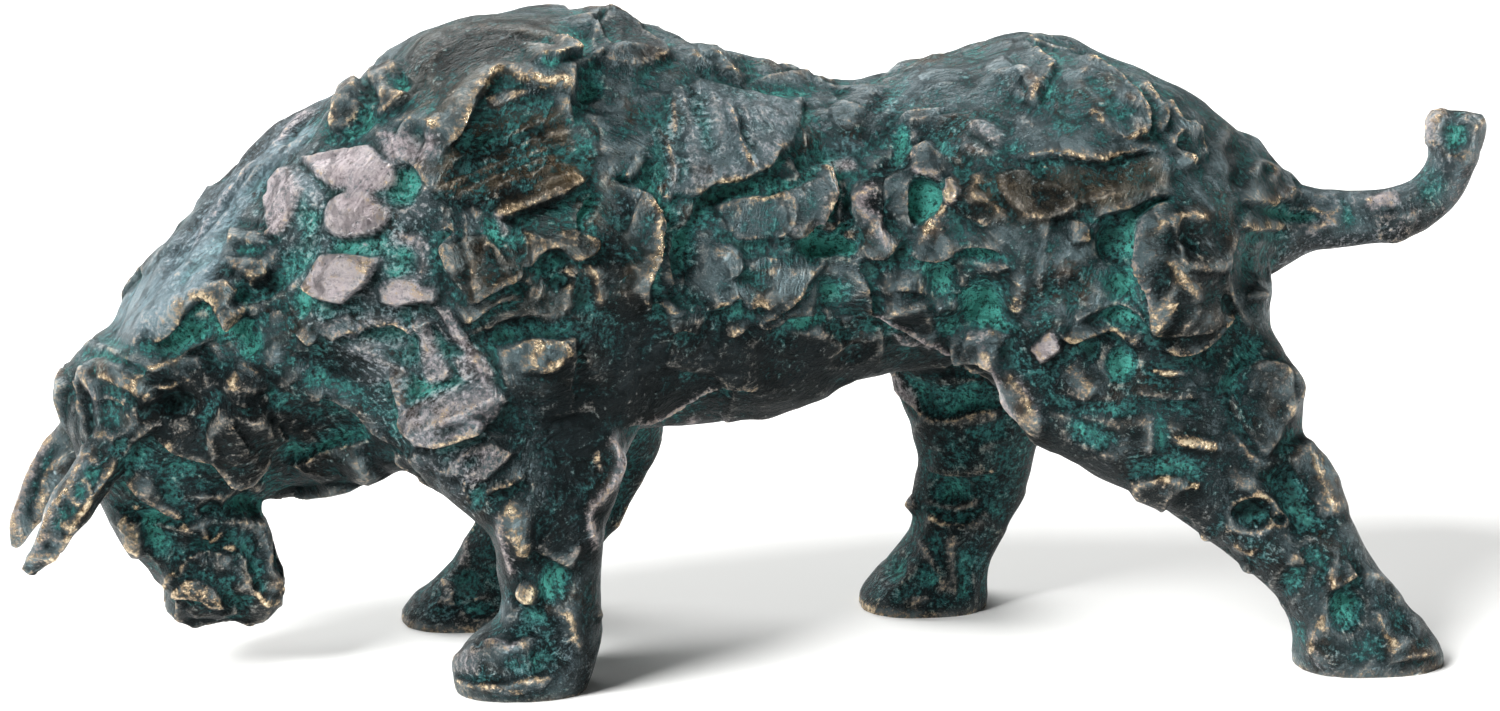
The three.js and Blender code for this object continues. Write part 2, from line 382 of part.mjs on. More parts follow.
// A faceted surface round the points where outside is below zero, in cells of the facet size. Each cell
// the surface crosses gets one corner, and each cell edge it crosses gets one four-sided facet.
function facetedSurface(outside, low, high, size) {
  const counts = ["x", "y", "z"].map((axis) => Math.ceil((high[axis] - low[axis]) / size) + 1);
  const [across, deep, tall] = counts;
  const at = (i, j, k) => i + across * (j + deep * k);
  const values = new Float64Array(across * deep * tall);
  for (let k = 0; k < tall; k++)
    for (let j = 0; j < deep; j++)
      for (let i = 0; i < across; i++)
        values[at(i, j, k)] = outside(low.x + i * size, low.y + j * size, low.z + k * size);
  const points = [];
  const cornerOf = new Map();
  for (let k = 0; k < tall - 1; k++)
    for (let j = 0; j < deep - 1; j++)
      for (let i = 0; i < across - 1; i++) {
        const sum = new THREE.Vector3();
        let crossings = 0;
        for (const [a, b] of cellEdges) {
          const from = values[at(i + a[0], j + a[1], k + a[2])];
          const to = values[at(i + b[0], j + b[1], k + b[2])];
          if (from < 0 === to < 0) continue;
          const t = from / (from - to);
          sum.add(new THREE.Vector3(...a.map((start, n) => start + t * (b[n] - start))));
          crossings++;
        }
        if (!crossings) continue;
        const place = sum.divideScalar(crossings).add(new THREE.Vector3(i, j, k));
        cornerOf.set(at(i, j, k), points.push(place.multiplyScalar(size).add(low)) - 1);
      }
  const faces = [];
  const facet = (a, b, c, d, inward) => {
    const [p, q, r, s] = (inward ? [a, d, c, b] : [a, b, c, d]).map((cell) => cornerOf.get(cell));
    const level = points[p].distanceTo(points[r]) < points[q].distanceTo(points[s]);
    faces.push(...(level ? [p, q, r, p, r, s] : [q, r, s, q, s, p]));
  };
  for (let k = 1; k < tall - 1; k++)
    for (let j = 1; j < deep - 1; j++)
      for (let i = 1; i < across - 1; i++) {
        const here = values[at(i, j, k)] < 0;
        if (here !== values[at(i + 1, j, k)] < 0)
          facet(at(i, j - 1, k - 1), at(i, j, k - 1), at(i, j, k), at(i, j - 1, k), !here);
        if (here !== values[at(i, j + 1, k)] < 0)
          facet(at(i - 1, j, k - 1), at(i - 1, j, k), at(i, j, k), at(i, j, k - 1), !here);
        if (here !== values[at(i, j, k + 1)] < 0)
          facet(at(i - 1, j - 1, k), at(i, j - 1, k), at(i, j, k), at(i - 1, j, k), !here);
      }
  const geometry = new THREE.BufferGeometry().setFromPoints(points);
  geometry.setIndex(faces);
  return geometry;
}

const cellEdges = [];
for (let axis = 0; axis < 3; axis++)
  for (let u = 0; u < 2; u++)
    for (let v = 0; v < 2; v++) {
      const start = [0, 0, 0];
      start[(axis + 1) % 3] = u;
      start[(axis + 2) % 3] = v;
      const end = [...start];
      end[axis] = 1;
      cellEdges.push([start, end]);
    }

// Evens out the corners over the surface, and brings each back onto it.
function settled(geometry, outside, rounds) {
  const position = geometry.attributes.position;
  const faces = geometry.index.array;
  const neighbours = Array.from({ length: position.count }, () => new Set());
  for (let i = 0; i < faces.length; i += 3)
    for (let j = 0; j < 3; j++) {
      neighbours[faces[i + j]].add(faces[i + ((j + 1) % 3)]);
      neighbours[faces[i + j]].add(faces[i + ((j + 2) % 3)]);
    }
  const steepness = (p) => {
    const reach = 0.4;
    const change = (dx, dy, dz) => outside(p.x + dx, p.y + dy, p.z + dz) - outside(p.x - dx, p.y - dy, p.z - dz);
    return new THREE.Vector3(change(reach, 0, 0), change(0, reach, 0), change(0, 0, reach)).divideScalar(2 * reach);
  };
  const points = Array.from({ length: position.count }, (_, i) => new THREE.Vector3().fromBufferAttribute(position, i));
  for (let round = 0; round < rounds; round++) {
    const moved = points.map((point, i) => {
      const middle = new THREE.Vector3();
      neighbours[i].forEach((n) => middle.add(points[n]));
      const to = point.clone().lerp(middle.divideScalar(neighbours[i].size), 0.5);
      const slope = steepness(to);
      return to.addScaledVector(slope, -outside(to.x, to.y, to.z) / Math.max(slope.lengthSq(), 0.2));
    });
    moved.forEach((to, i) => points[i].copy(to));
  }
  points.forEach((point, i) => position.setXYZ(i, point.x, point.y, point.z));
  geometry.computeVertexNormals();
  return geometry;
}

// Moves the surface out and in under the marks of one side, where it faces the drawing plane.
function carved(geometry, marks, side) {
  const [forward, above] = [viewForward, viewAbove].map(THREE.MathUtils.degToRad);
  const right = new THREE.Vector3(Math.cos(forward), side * Math.sin(forward), 0);
  const upward = new THREE.Vector3(
    Math.sin(forward) * Math.sin(above),
    -side * Math.cos(forward) * Math.sin(above),
    Math.cos(above),
  );
  const towardsViewer = new THREE.Vector3(
    -Math.sin(forward) * Math.cos(above),
    side * Math.cos(forward) * Math.cos(above),
    Math.sin(above),
  );
  const position = geometry.attributes.position;
  const normal = geometry.attributes.normal;
  for (let i = 0; i < position.count; i++) {
    const point = new THREE.Vector3().fromBufferAttribute(position, i);
    const outward = new THREE.Vector3().fromBufferAttribute(normal, i);
    const facing = smooth(outward.dot(towardsViewer), 0.05, 0.4) * smooth(point.z, 1, 6);
    if (facing === 0 || point.y * side < -backReach) continue;
    const across = point.dot(right);
    const up = point.dot(upward);
    let rise = 0;
    for (const mark of marks) {
      const turn = THREE.MathUtils.degToRad(mark.turn);
      const [du, dv] = [across - mark.across, up - mark.up];
      const a = (du * Math.cos(turn) + dv * Math.sin(turn)) / mark.long;
      const b = (dv * Math.cos(turn) - du * Math.sin(turn)) / mark.wide;
      if (Math.abs(a) < 1.6 && Math.abs(b) < 1.6) rise += mark.rise * mark.form(a, b);
    }
    point.addScaledVector(outward, rise * facing * carvingDepth);
    position.setXYZ(i, point.x, point.y, point.z);
  }
  geometry.computeVertexNormals();
  return geometry;
}

// A closed surface through rings of points, with a fan to the middle of each end ring.
function skin(rings) {
  const sides = rings[0].length;
  const points = rings.flat();
  const faces = [];
  const corner = (ring, side) => ring * sides + (side % sides);
  for (let ring = 0; ring < rings.length - 1; ring++)
    for (let side = 0; side < sides; side++) {
      const [a, b] = [corner(ring, side), corner(ring, side + 1)];
      const [c, d] = [corner(ring + 1, side + 1), corner(ring + 1, side)];
      faces.push(a, b, c, a, c, d);
    }
  const middle = (ring) => {
    const sum = ring.reduce((total, point) => total.add(point), new THREE.Vector3());
    return sum.divideScalar(ring.length);
  };
  const first = points.push(middle(rings[0])) - 1;
  const end = points.push(middle(rings[rings.length - 1])) - 1;
  for (let side = 0; side < sides; side++) {
    faces.push(first, corner(0, side + 1), corner(0, side));
    faces.push(end, corner(rings.length - 1, side), corner(rings.length - 1, side + 1));
  }
  const geometry = new THREE.BufferGeometry().setFromPoints(points);
  geometry.setIndex(faces);
  return geometry;
}

// A form with rounded sections square to a line through its stations, uneven by a share of its radius.
function lineForm(stations, sides, step, side, unevenness = 0.07) {
  const line = new THREE.CatmullRomCurve3(
    stations.map((s) => new THREE.Vector3(s.x, side * s.y, s.z)),
    false,
    "centripetal",
  );
  const count = Math.round(line.getLength() / step);
  const numbered = stations.map((s, number) => ({ ...s, number }));
  const across = new THREE.Vector3(0, 1, 0);
  const rings = Array.from({ length: count + 1 }, (_, i) => {
    const place = i / count;
    const middle = line.getPoint(place);
    const ahead = line.getTangent(place);
    const up = new THREE.Vector3().crossVectors(ahead, across).normalize();
    const sideways = new THREE.Vector3().crossVectors(up, ahead).normalize();
    const number = place * (stations.length - 1);
    const radius = measureAt(numbered, "number", "radius", number);
    const width = measureAt(numbered, "number", "width", number);
    return Array.from({ length: sides }, (_, j) => {
      const angle = (2 * Math.PI * j) / sides;
      const share = 1 + unevenness * Math.sin(i * 2.1 + j * 2.7);
      return middle
        .clone()
        .addScaledVector(sideways, share * width * Math.cos(angle))
        .addScaledVector(up, share * radius * Math.sin(angle));
    });
  });
  return skin(rings);
}

const wasm = await Module();
wasm.setup();

// A surface as a solid, turned the right way out.
function solidOf(geometry) {
  const bare = geometry.clone();
  bare.deleteAttribute("normal");
  bare.deleteAttribute("uv");
  const merged = mergeVertices(bare, 1e-4);
  const make = (faces) =>
    new wasm.Manifold(
      new wasm.Mesh({
        numProp: 3,
        vertProperties: new Float32Array(merged.attributes.position.array),
        triVerts: new Uint32Array(faces),
      }),
    );
  const faces = [...merged.index.array];
  const solid = make(faces);
  return solid.volume() > 0 ? solid : make(faces.reverse());
}

function geometryOf(solid) {
  const mesh = solid.getMesh();
  const positions = new Float32Array(mesh.numVert * 3);
  for (let i = 0; i < mesh.numVert; i++)
    positions.set(mesh.vertProperties.subarray(i * mesh.numProp, i * mesh.numProp + 3), i * 3);
  const geometry = new THREE.BufferGeometry();
  geometry.setAttribute("position", new THREE.BufferAttribute(positions, 3));
  geometry.setIndex(new THREE.BufferAttribute(new Uint32Array(mesh.triVerts), 1));
  return geometry;
}

// The room the body's forms take up, with some cells clear all round so that its faceted surface closes
function bodyRoom() {
  const clear = 3 * facetSize;
  const side = Math.max(...torsoSections.map((s) => s.width)) + clear;
  const front = Math.min(...headSections.map((s) => s.front)) - clear;
  const back = Math.max(...nearHindLegSections.map((s) => s.back)) + clear;
  const below = nearHindLegSections[0].z - clear;
  const top = Math.max(...torsoSections.map((s) => s.top)) + clear;
  return new THREE.Box3(new THREE.Vector3(front, -side, below), new THREE.Vector3(back, side, top));
}

function bullGeometry() {
  const room = bodyRoom();
  const body = settled(facetedSurface(outsideBody, room.min, room.max, facetSize), outsideBody, 6);
  carved(carved(body, leftCarving, -1), rightCarving, 1);
  const floorDepth = -room.min.z;
  const floor = new THREE.BoxGeometry(room.max.x - room.min.x, room.max.y - room.min.y, floorDepth);
  floor.translate((room.min.x + room.max.x) / 2, 0, -floorDepth / 2);
  const forms = [
    lineForm(nearHornLine, hornSides, 3.4, -1),
    lineForm(farHornLine, hornSides, 3.4, 1),
    lineForm(tailLine, tailSides, 4, 1),
  ];
  const whole = forms.map(solidOf).reduce((joined, form) => joined.add(form), solidOf(body));
  const geometry = geometryOf(whole.subtract(solidOf(floor)));
  geometry.computeBoundingBox();
  const box = geometry.boundingBox;
  const drawn = box.getSize(new THREE.Vector3());
  geometry.translate(-(box.min.x + box.max.x) / 2, -(box.min.y + box.max.y) / 2, -box.min.z);
  geometry.scale(bullLength / drawn.x, bullWidth / drawn.y, bullHeight / drawn.z);
  geometry.computeVertexNormals();
  return geometry;
}

const patinatedBronze = new THREE.MeshStandardMaterial({ color: 0x3a3f3d, roughness: 0.5, metalness: 0.75 });

const bull = new THREE.Mesh(bullGeometry(), patinatedBronze);
bull.name = "bull";

const sculpture = new THREE.Group();
sculpture.add(bull);

export default sculpture;
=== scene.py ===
import math

import bmesh
import bpy
import numpy as np
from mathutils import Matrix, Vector, kdtree


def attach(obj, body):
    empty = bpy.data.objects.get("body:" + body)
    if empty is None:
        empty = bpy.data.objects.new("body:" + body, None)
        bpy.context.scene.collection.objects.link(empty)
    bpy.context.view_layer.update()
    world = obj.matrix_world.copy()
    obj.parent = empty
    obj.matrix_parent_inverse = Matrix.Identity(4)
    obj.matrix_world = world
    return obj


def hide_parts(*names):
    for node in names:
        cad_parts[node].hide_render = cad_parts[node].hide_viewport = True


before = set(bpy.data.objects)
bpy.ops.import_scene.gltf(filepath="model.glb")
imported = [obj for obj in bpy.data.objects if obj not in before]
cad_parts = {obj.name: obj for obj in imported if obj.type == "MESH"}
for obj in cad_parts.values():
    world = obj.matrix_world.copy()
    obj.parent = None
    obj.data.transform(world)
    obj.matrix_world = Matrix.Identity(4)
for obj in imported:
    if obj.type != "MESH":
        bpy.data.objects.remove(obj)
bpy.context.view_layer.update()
print("frame loaded")

# The photograph's view of the bull. Lengths are in millimetres in the CAD frame, places in the
# photograph are in pixels of its 1500 x 711 frame.
photoView = {
    "turn": 8.0,  # degrees round towards the head
    "tilt": 13.0,  # degrees above the horizon
    "distance": 1150.0,
    "aim": (0.0, 0.0, 64.0),
    "pixelsPerMm": 4.95,  # at the aim
    "centre": (757.0, 339.0),  # where the aim is in the frame
    "frame": (1500, 711),
    "sensor": 36.0,
}


def viewAxes():
    turn = math.radians(photoView["turn"])
    tilt = math.radians(photoView["tilt"])
    ahead = np.array([math.sin(turn) * math.cos(tilt), math.cos(turn) * math.cos(tilt), -math.sin(tilt)])
    right = np.array([math.cos(turn), -math.sin(turn), 0.0])
    return right, np.cross(right, ahead), ahead


def photoPixels(points):
    right, up, ahead = viewAxes()
    away = points - (np.array(photoView["aim"]) - photoView["distance"] * ahead)
    scale = photoView["pixelsPerMm"] * photoView["distance"] / (away @ ahead)
    across = photoView["centre"][0] + (away @ right) * scale
    down = photoView["centre"][1] - (away @ up) * scale
    return np.stack([across, down], -1)


def smoothStep(low, high, value):
    share = np.clip((value - low) / (high - low), 0, 1)
    return share * share * (3 - 2 * share)


# How the CAD bull becomes a surface to model on. Lengths are in millimetres
surface = {
    "voxel": 0.62,  # of the remesh that the modelling is done on
    "evening": 34,  # rounds that take the CAD facets out
    "restoring": 60,  # rounds that give thin parts their volume back
    "planing": (12, 8, 0.12),  # rounds, settling rounds, and how far apart two facets' normals may be
    "soleHeight": 0.35,  # what lies lower is a sole and stays flat
    "trianglesKept": 193000,
}


def denseCopy(node, voxel):
    mesh = node.data.copy()
    build = bmesh.new()
    build.from_mesh(mesh)
    bmesh.ops.remove_doubles(build, verts=build.verts, dist=1e-6)
    build.to_mesh(mesh)
    build.free()
    rough = bpy.data.objects.new("roughBull", mesh)
    bpy.context.scene.collection.objects.link(rough)
    remesh = rough.modifiers.new("voxels", "REMESH")
    remesh.mode = "VOXEL"
    remesh.voxel_size = voxel / 1000
    graph = bpy.context.evaluated_depsgraph_get()
    dense = bpy.data.meshes.new_from_object(rough.evaluated_get(graph))
    bpy.data.objects.remove(rough)
    return dense


def meshArrays(mesh):
    points = np.zeros(len(mesh.vertices) * 3)
    mesh.vertices.foreach_get("co", points)
    edges = np.zeros(len(mesh.edges) * 2, np.int32)
    mesh.edges.foreach_get("vertices", edges)
    mesh.calc_loop_triangles()
    triangles = np.zeros(len(mesh.loop_triangles) * 3, np.int32)
    mesh.loop_triangles.foreach_get("vertices", triangles)
    return points.reshape(-1, 3) * 1000, edges.reshape(-1, 2), triangles.reshape(-1, 3)


def lengthOne(vectors):
    return vectors / np.maximum(np.linalg.norm(vectors, axis=1, keepdims=True), 1e-12)


# Across each facet, as long as twice its area
def facetNormals(points, triangles):
    a, b, c = (points[triangles[:, corner]] for corner in range(3))
    return np.cross(b - a, c - a)


class Skin:
    def __init__(self, mesh):
        self.points, self.edges, self.triangles = meshArrays(mesh)
        self.ends = self.edges.ravel()
        self.others = self.edges[:, ::-1].ravel()
        self.count = len(self.points)
        self.degree = np.maximum(np.bincount(self.ends, minlength=self.count), 1)

    def around(self, values):
        if values.ndim == 1:
            return np.bincount(self.ends, values[self.others], self.count) / self.degree
        return np.stack([self.around(values[:, axis]) for axis in range(values.shape[1])], -1)

    def evened(self, values, rounds, share=0.75):
        for _ in range(rounds):
            values = values + share * (self.around(values) - values)
        return values

    def normals(self, points):
        facing = facetNormals(points, self.triangles)
        corners = self.triangles.T.ravel()
        sums = [np.bincount(corners, np.tile(facing[:, axis], 3), self.count) for axis in range(3)]
        return lengthOne(np.stack(sums, -1))


# Facets that face nearly the same way are drawn into one plane, as a modelling tool leaves clay, and
# the creases between planes stay sharp
def planed(skin, points, rounds, settling, spread):
    corners = skin.triangles
    total = len(corners)
    sides = np.sort(np.vstack([corners[:, [0, 1]], corners[:, [1, 2]], corners[:, [2, 0]]]), axis=1).astype(np.int64)
    key = sides[:, 0] * skin.count + sides[:, 1]
    order = np.argsort(key, kind="stable")
    paired = np.nonzero(key[order[1:]] == key[order[:-1]])[0]
    first, second = order[paired] % total, order[paired + 1] % total
    facing = lengthOne(facetNormals(points, corners))
    for _ in range(rounds):
        apart = np.sum((facing[first] - facing[second]) ** 2, axis=1)
        weight = np.exp(-apart / (2 * spread**2))
        for axis in range(3):
            values = facing[:, axis]
            gathered = np.bincount(first, weight * values[second], total)
            facing[:, axis] = values + gathered + np.bincount(second, weight * values[first], total)
        facing = lengthOne(facing)
    share = np.maximum(np.bincount(corners.T.ravel(), minlength=skin.count), 1)
    for _ in range(settling):
        middle = points[corners].mean(axis=1)
        pull = np.zeros_like(points)
        for i in range(3):
            off = np.sum(facing * (middle - points[corners[:, i]]), axis=1)
            for axis in range(3):
                pull[:, axis] += np.bincount(corners[:, i], off * facing[:, axis], skin.count)
        points = points + pull / share[:, None]
    return points


def latticeNoise(points, size, seed):
    draw = np.random.RandomState(seed)
    table = draw.rand(32, 32, 32) * 2 - 1
    place = points / size + draw.rand(3) * 20
    cell = np.floor(place).astype(int)
    part = place - cell
    part = part * part * (3 - 2 * part)
    total = np.zeros(len(points))
    for corner in range(8):
        step = np.array([corner & 1, corner >> 1 & 1, corner >> 2 & 1])
        weight = np.prod(np.where(step, part, 1 - part), axis=1)
        spot = (cell + step) & 31
        total += weight * table[spot[:, 0], spot[:, 1], spot[:, 2]]
    return total


def cloudyNoise(points, size, seed, layers=3):
    return sum(latticeNoise(points, size / 2**i, seed + i) / 2**i for i in range(layers))


# Clay patted flat with a tool: each cell of the surface leans towards a plane of its own, and steps
# up or down to the next one
def pattedFlat(points, normals, size, seed, lean, step, edge, most):
    draw = np.random.RandomState(seed)
    spots = draw.rand(32, 32, 32, 3)
    place = points / size
    cell = np.floor(place).astype(int)
    near = np.full(len(points), 9.0)
    second = np.full(len(points), 9.0)
    key = np.zeros(len(points), int)
    keySecond = np.zeros(len(points), int)
    for i in (-1, 0, 1):
        for j in (-1, 0, 1):
            for k in (-1, 0, 1):
                spot = cell + (i, j, k)
                away = np.linalg.norm(place - spot - spots[tuple((spot & 31).T)], axis=1)
                here = (spot[:, 0] + 500) * 1000000 + (spot[:, 1] + 500) * 1000 + spot[:, 2] + 500
                closer = away < near
                between = ~closer & (away < second)
                keySecond = np.where(closer, key, np.where(between, here, keySecond))
                second = np.where(closer, near, np.where(between, away, second))
                key = np.where(closer, here, key)
                near = np.where(closer, away, near)
    kinds, order = np.unique(np.concatenate([key, keySecond]), return_inverse=True)
    first, other = order[: len(points)], order[len(points) :]
    count = np.maximum(np.bincount(first, minlength=len(kinds)), 1)
    centre = np.stack([np.bincount(first, points[:, a], len(kinds)) / count for a in range(3)], -1)
    facing = np.stack([np.bincount(first, normals[:, a], len(kinds)) / count for a in range(3)], -1)
    facing = lengthOne(facing)
    facing += lean * (draw.rand(len(kinds), 3) * 2 - 1)
    level = step * (draw.rand(len(kinds)) * 2 - 1)

    def moved(which):
        slope = np.sum(normals * facing[which], axis=1)
        rise = np.sum((centre[which] - points) * facing[which], axis=1) / np.maximum(slope, 0.5) + level[which]
        return np.clip(rise, -most, most) * smoothStep(0.3, 0.6, slope)

    mine, theirs = moved(first), moved(other)
    blend = smoothStep(0, edge, (second - near) * size)
    return mine * blend + (mine + theirs) / 2 * (1 - blend), draw.rand(len(kinds))[first]


# Lines in the photograph, drawn through their points as a smooth curve
def splinePoints(line, closed=False, step=3.0):
    spots = np.array(line, float)
    if closed:
        spots = np.vstack([spots[-1], spots, spots[0], spots[1]])
    else:
        spots = np.vstack([2 * spots[0] - spots[1], spots, 2 * spots[-1] - spots[-2]])
    drawn = []
    for i in range(1, len(spots) - 2):
        before, start, end, after = spots[i - 1 : i + 3]
        count = max(2, int(np.linalg.norm(end - start) / step))
        for t in np.arange(count)[:, None] / count:
            bend = (2 * before - 5 * start + 4 * end - after) * t + (3 * start - before - 3 * end + after) * t**2
            drawn.append(start + 0.5 * t * ((end - before) + bend))
    if not closed:
        drawn.append(spots[-2])
    return np.array(drawn)


# Distance from a line in millimetres, left of its run being positive, and the share of the way along
def awayFromLine(pixels, line):
    drawn = splinePoints(line)
    starts, spans = drawn[:-1], np.diff(drawn, axis=0)
    lengths = np.linalg.norm(spans, axis=1)
    before = np.concatenate([[0], np.cumsum(lengths)[:-1]])
    best = np.full(len(pixels), 1e9)
    side = np.zeros(len(pixels))
    along = np.zeros(len(pixels))
    for start, span, length, run in zip(starts, spans, lengths, before):
        offset = pixels - start
        share = np.clip(offset @ span / length**2, 0, 1)
        miss = offset - share[:, None] * span
        far = np.hypot(miss[:, 0], miss[:, 1])
        closer = far < best
        left = span[1] * offset[:, 0] - span[0] * offset[:, 1]
        side = np.where(closer, np.sign(left), side)
        along = np.where(closer, run + share * length, along)
        best = np.where(closer, far, best)
    return best * side / photoView["pixelsPerMm"], along / lengths.sum()


# Distance inside an outline in millimetres, negative outside
def insideOutline(pixels, outline, sharp):
    drawn = np.array(outline, float) if sharp else splinePoints(outline, closed=True)
    best = np.full(len(pixels), 1e9)
    inside = np.zeros(len(pixels), bool)
    for start, end in zip(drawn, np.roll(drawn, -1, axis=0)):
        span = end - start
        offset = pixels - start
        share = np.clip(offset @ span / max(span @ span, 1e-9), 0, 1)
        miss = offset - share[:, None] * span
        best = np.minimum(best, np.hypot(miss[:, 0], miss[:, 1]))
        crosses = (start[1] > pixels[:, 1]) != (end[1] > pixels[:, 1])
        if start[1] != end[1]:
            level = start[0] + (pixels[:, 1] - start[1]) * span[0] / span[1]
            inside ^= crosses & (pixels[:, 0] < level)
    return np.where(inside, best, -best) / photoView["pixelsPerMm"]


# How the marks below are carried out: what their widths, heights and green tones are multiplied by
markScale = {
    "lipFade": 2.0,
    "lipReach": 1.7,
    "lipUnder": 0.42,
    "crestWide": 1.4,
    "crestRise": 0.85,
    "grooveWide": 1.25,
    "grooveDeep": 0.55,
    "green": 0.8,
}


# What the modelling of the bull's left side adds up to: its relief, the tones of its patina, and the shade, sheen and
# reflections painted over them
class Modelling:
    def __init__(self, pixels, gates, jitter):
        self.pixels = pixels
        self.gates = gates
        self.jitter = jitter
        self.relief = np.zeros(len(pixels))
        # dark is painted shade, pale is burnished metal with a painted sheen, and blue is a painted reflection of the
        # light above
        names = ("green", "gold", "pale", "blue", "dark", "brown", "calm")
        self.tones = {name: np.zeros(len(pixels)) for name in names}

    def near(self, line, reach, layer):
        spots = np.array(line, float)
        room = reach * photoView["pixelsPerMm"] + 8
        low, high = spots.min(0) - room, spots.max(0) + room
        inside = np.all((self.pixels > low) & (self.pixels < high), axis=1) & (self.gates[layer] > 0)
        chosen = np.nonzero(inside)[0]
        return chosen, self.pixels[chosen] + self.jitter[chosen], self.gates[layer][chosen]

    def tint(self, chosen, gate, cover, **tones):
        for name, strength in tones.items():
            shown = strength * cover * np.minimum(gate * 4, 1)
            self.tones[name][chosen] = np.maximum(self.tones[name][chosen], shown)

    # A torn or pressed edge: steep on the low side, with a recess under it, and sinking away behind
    def lip(
        self, line, high="up", rise=1.3, fade=6, under=0.7, reach=3.5, gold=0.8, green=0.5, layer="near", **tones
    ):
        fade, reach, under = fade * markScale["lipFade"], reach * markScale["lipReach"], under * markScale["lipUnder"]
        chosen, pixels, gate = self.near(line, max(fade, reach), layer)
        away, along = awayFromLine(pixels, line)
        run = np.subtract(line[-1], line[0])
        towards = {"up": (0, -1), "down": (0, 1), "left": (-1, 0), "right": (1, 0)}[high]
        away = away * (1 if run[1] * towards[0] - run[0] * towards[1] > 0 else -1)
        ends = smoothStep(0, 0.16, along) * smoothStep(1, 0.84, along)
        behind = 1 - smoothStep(-0.15, 1, away / fade)
        below = 1 - np.clip(-away / reach, 0, 1)
        step = smoothStep(-0.3, 0.25, away)
        edge = np.exp(-(((away - 0.2) / 0.6) ** 2)) * ends
        hollow = np.where(away < 0.2, np.clip(1 + away / reach, 0, 1), 0) * ends
        self.relief[chosen] += (step * behind * rise - (1 - step) * below * under) * ends * gate
        self.tint(chosen, gate, edge, gold=gold, **tones)
        self.tint(chosen, gate, hollow, green=green * markScale["green"])

    # A ridge of clay, or a thin raised line left by a tool
    def crest(self, line, rise=1.0, wide=1.4, gold=0.7, layer="near", **tones):
        rise, wide = rise * markScale["crestRise"], wide * markScale["crestWide"]
        chosen, pixels, gate = self.near(line, wide * 1.2, layer)
        away, along = awayFromLine(pixels, line)
        ends = smoothStep(0, 0.2, along) * smoothStep(1, 0.8, along)
        self.relief[chosen] += rise * np.clip(1 - np.abs(away) / wide, 0, 1) ** 1.25 * ends * gate
        self.tint(chosen, gate, np.exp(-((away / (0.35 + 0.22 * wide)) ** 2)) * ends, gold=gold, **tones)

    def groove(self, line, deep=0.9, wide=1.4, green=0.5, layer="near", **tones):
        deep, wide = deep * markScale["grooveDeep"], wide * markScale["grooveWide"]
        chosen, pixels, gate = self.near(line, wide * 1.2, layer)
        away, along = awayFromLine(pixels, line)
        ends = smoothStep(0, 0.2, along) * smoothStep(1, 0.8, along)
        cut = np.clip(1 - (away / wide) ** 2, 0, 1) * ends
        self.relief[chosen] -= deep * cut * gate
        self.tint(chosen, gate, cut, green=green * markScale["green"], **tones)

    # A slab laid on with its own outline
    def slab(self, outline, rise=1.0, edge=0.6, lean=0.0, leanTo=0.0, sharp=True, layer="near", rim=0.0, **tones):
        chosen, pixels, gate = self.near(outline, 1.5, layer)
        inside = insideOutline(pixels, outline, sharp)
        middle = np.mean(np.array(outline, float), axis=0)
        turn = math.radians(leanTo)
        across = (pixels - middle) @ np.array([math.cos(turn), -math.sin(turn)]) / photoView["pixelsPerMm"]
        cover = smoothStep(-edge, edge, inside)
        relief = cover * (rise * (0.75 + 0.25 * smoothStep(0, 5, inside)) + lean * across)
        self.relief[chosen] += relief * gate
        self.tint(chosen, gate, cover, **tones)
        self.tint(chosen, gate, np.exp(-(((inside - 0.3) / 0.7) ** 2)), gold=0.55 * rim)

    # Tones over a whole area, without relief
    def wash(self, outline, edge=4, layer="near", **tones):
        self.slab(outline, rise=0.0, edge=edge, layer=layer, **tones)

    # A dent, pool or lump with an oval outline. Its rise is negative where it lies in
    def press(self, at, half, turn=0.0, rise=-1.2, flat=1.0, rim=0.0, rimGold=0.0, layer="near", **tones):
        spot = [(at[0] - max(half), at[1] - max(half)), (at[0] + max(half), at[1] + max(half))]
        chosen, pixels, gate = self.near(spot, 3, layer)
        turned = math.radians(turn)
        offset = pixels - np.array(at, float)
        along = (offset[:, 0] * math.cos(turned) - offset[:, 1] * math.sin(turned)) / half[0]
        across = (offset[:, 0] * math.sin(turned) + offset[:, 1] * math.cos(turned)) / half[1]
        away = np.hypot(along, across)
        dome = np.clip(1 - away**2, 0, 1) ** flat
        ring = np.exp(-(((away - 1.05) / 0.2) ** 2))
        self.relief[chosen] += (rise * dome + rim * ring) * gate
        self.tint(chosen, gate, smoothStep(1.15, 0.6, away), **tones)
        self.tint(chosen, gate, ring, gold=rimGold)

    # Strokes of a toothed tool or a stiff brush, all one way
    def comb(self, outline, turn=0.0, pitch=2.2, deep=0.45, uneven=0.5, layer="near", **tones):
        chosen, pixels, gate = self.near(outline, 1.5, layer)
        cover = smoothStep(-1.0, 1.0, insideOutline(pixels, outline, True))
        turned = math.radians(turn)
        along = (pixels @ np.array([math.cos(turned), -math.sin(turned)])) / photoView["pixelsPerMm"]
        across = (pixels @ np.array([math.sin(turned), math.cos(turned)])) / photoView["pixelsPerMm"]
        flow = np.stack([along / 14, across / pitch, np.zeros(len(along))], -1)
        waves = latticeNoise(flow, 1.0, 91) + uneven * latticeNoise(flow, 0.45, 92)
        self.relief[chosen] += deep * waves * cover * gate
        self.tint(chosen, gate, cover, **tones)

    def tone(self, at, half, turn=0.0, layer="near", **tones):
        self.press(at, half, turn, rise=0.0, layer=layer, **tones)


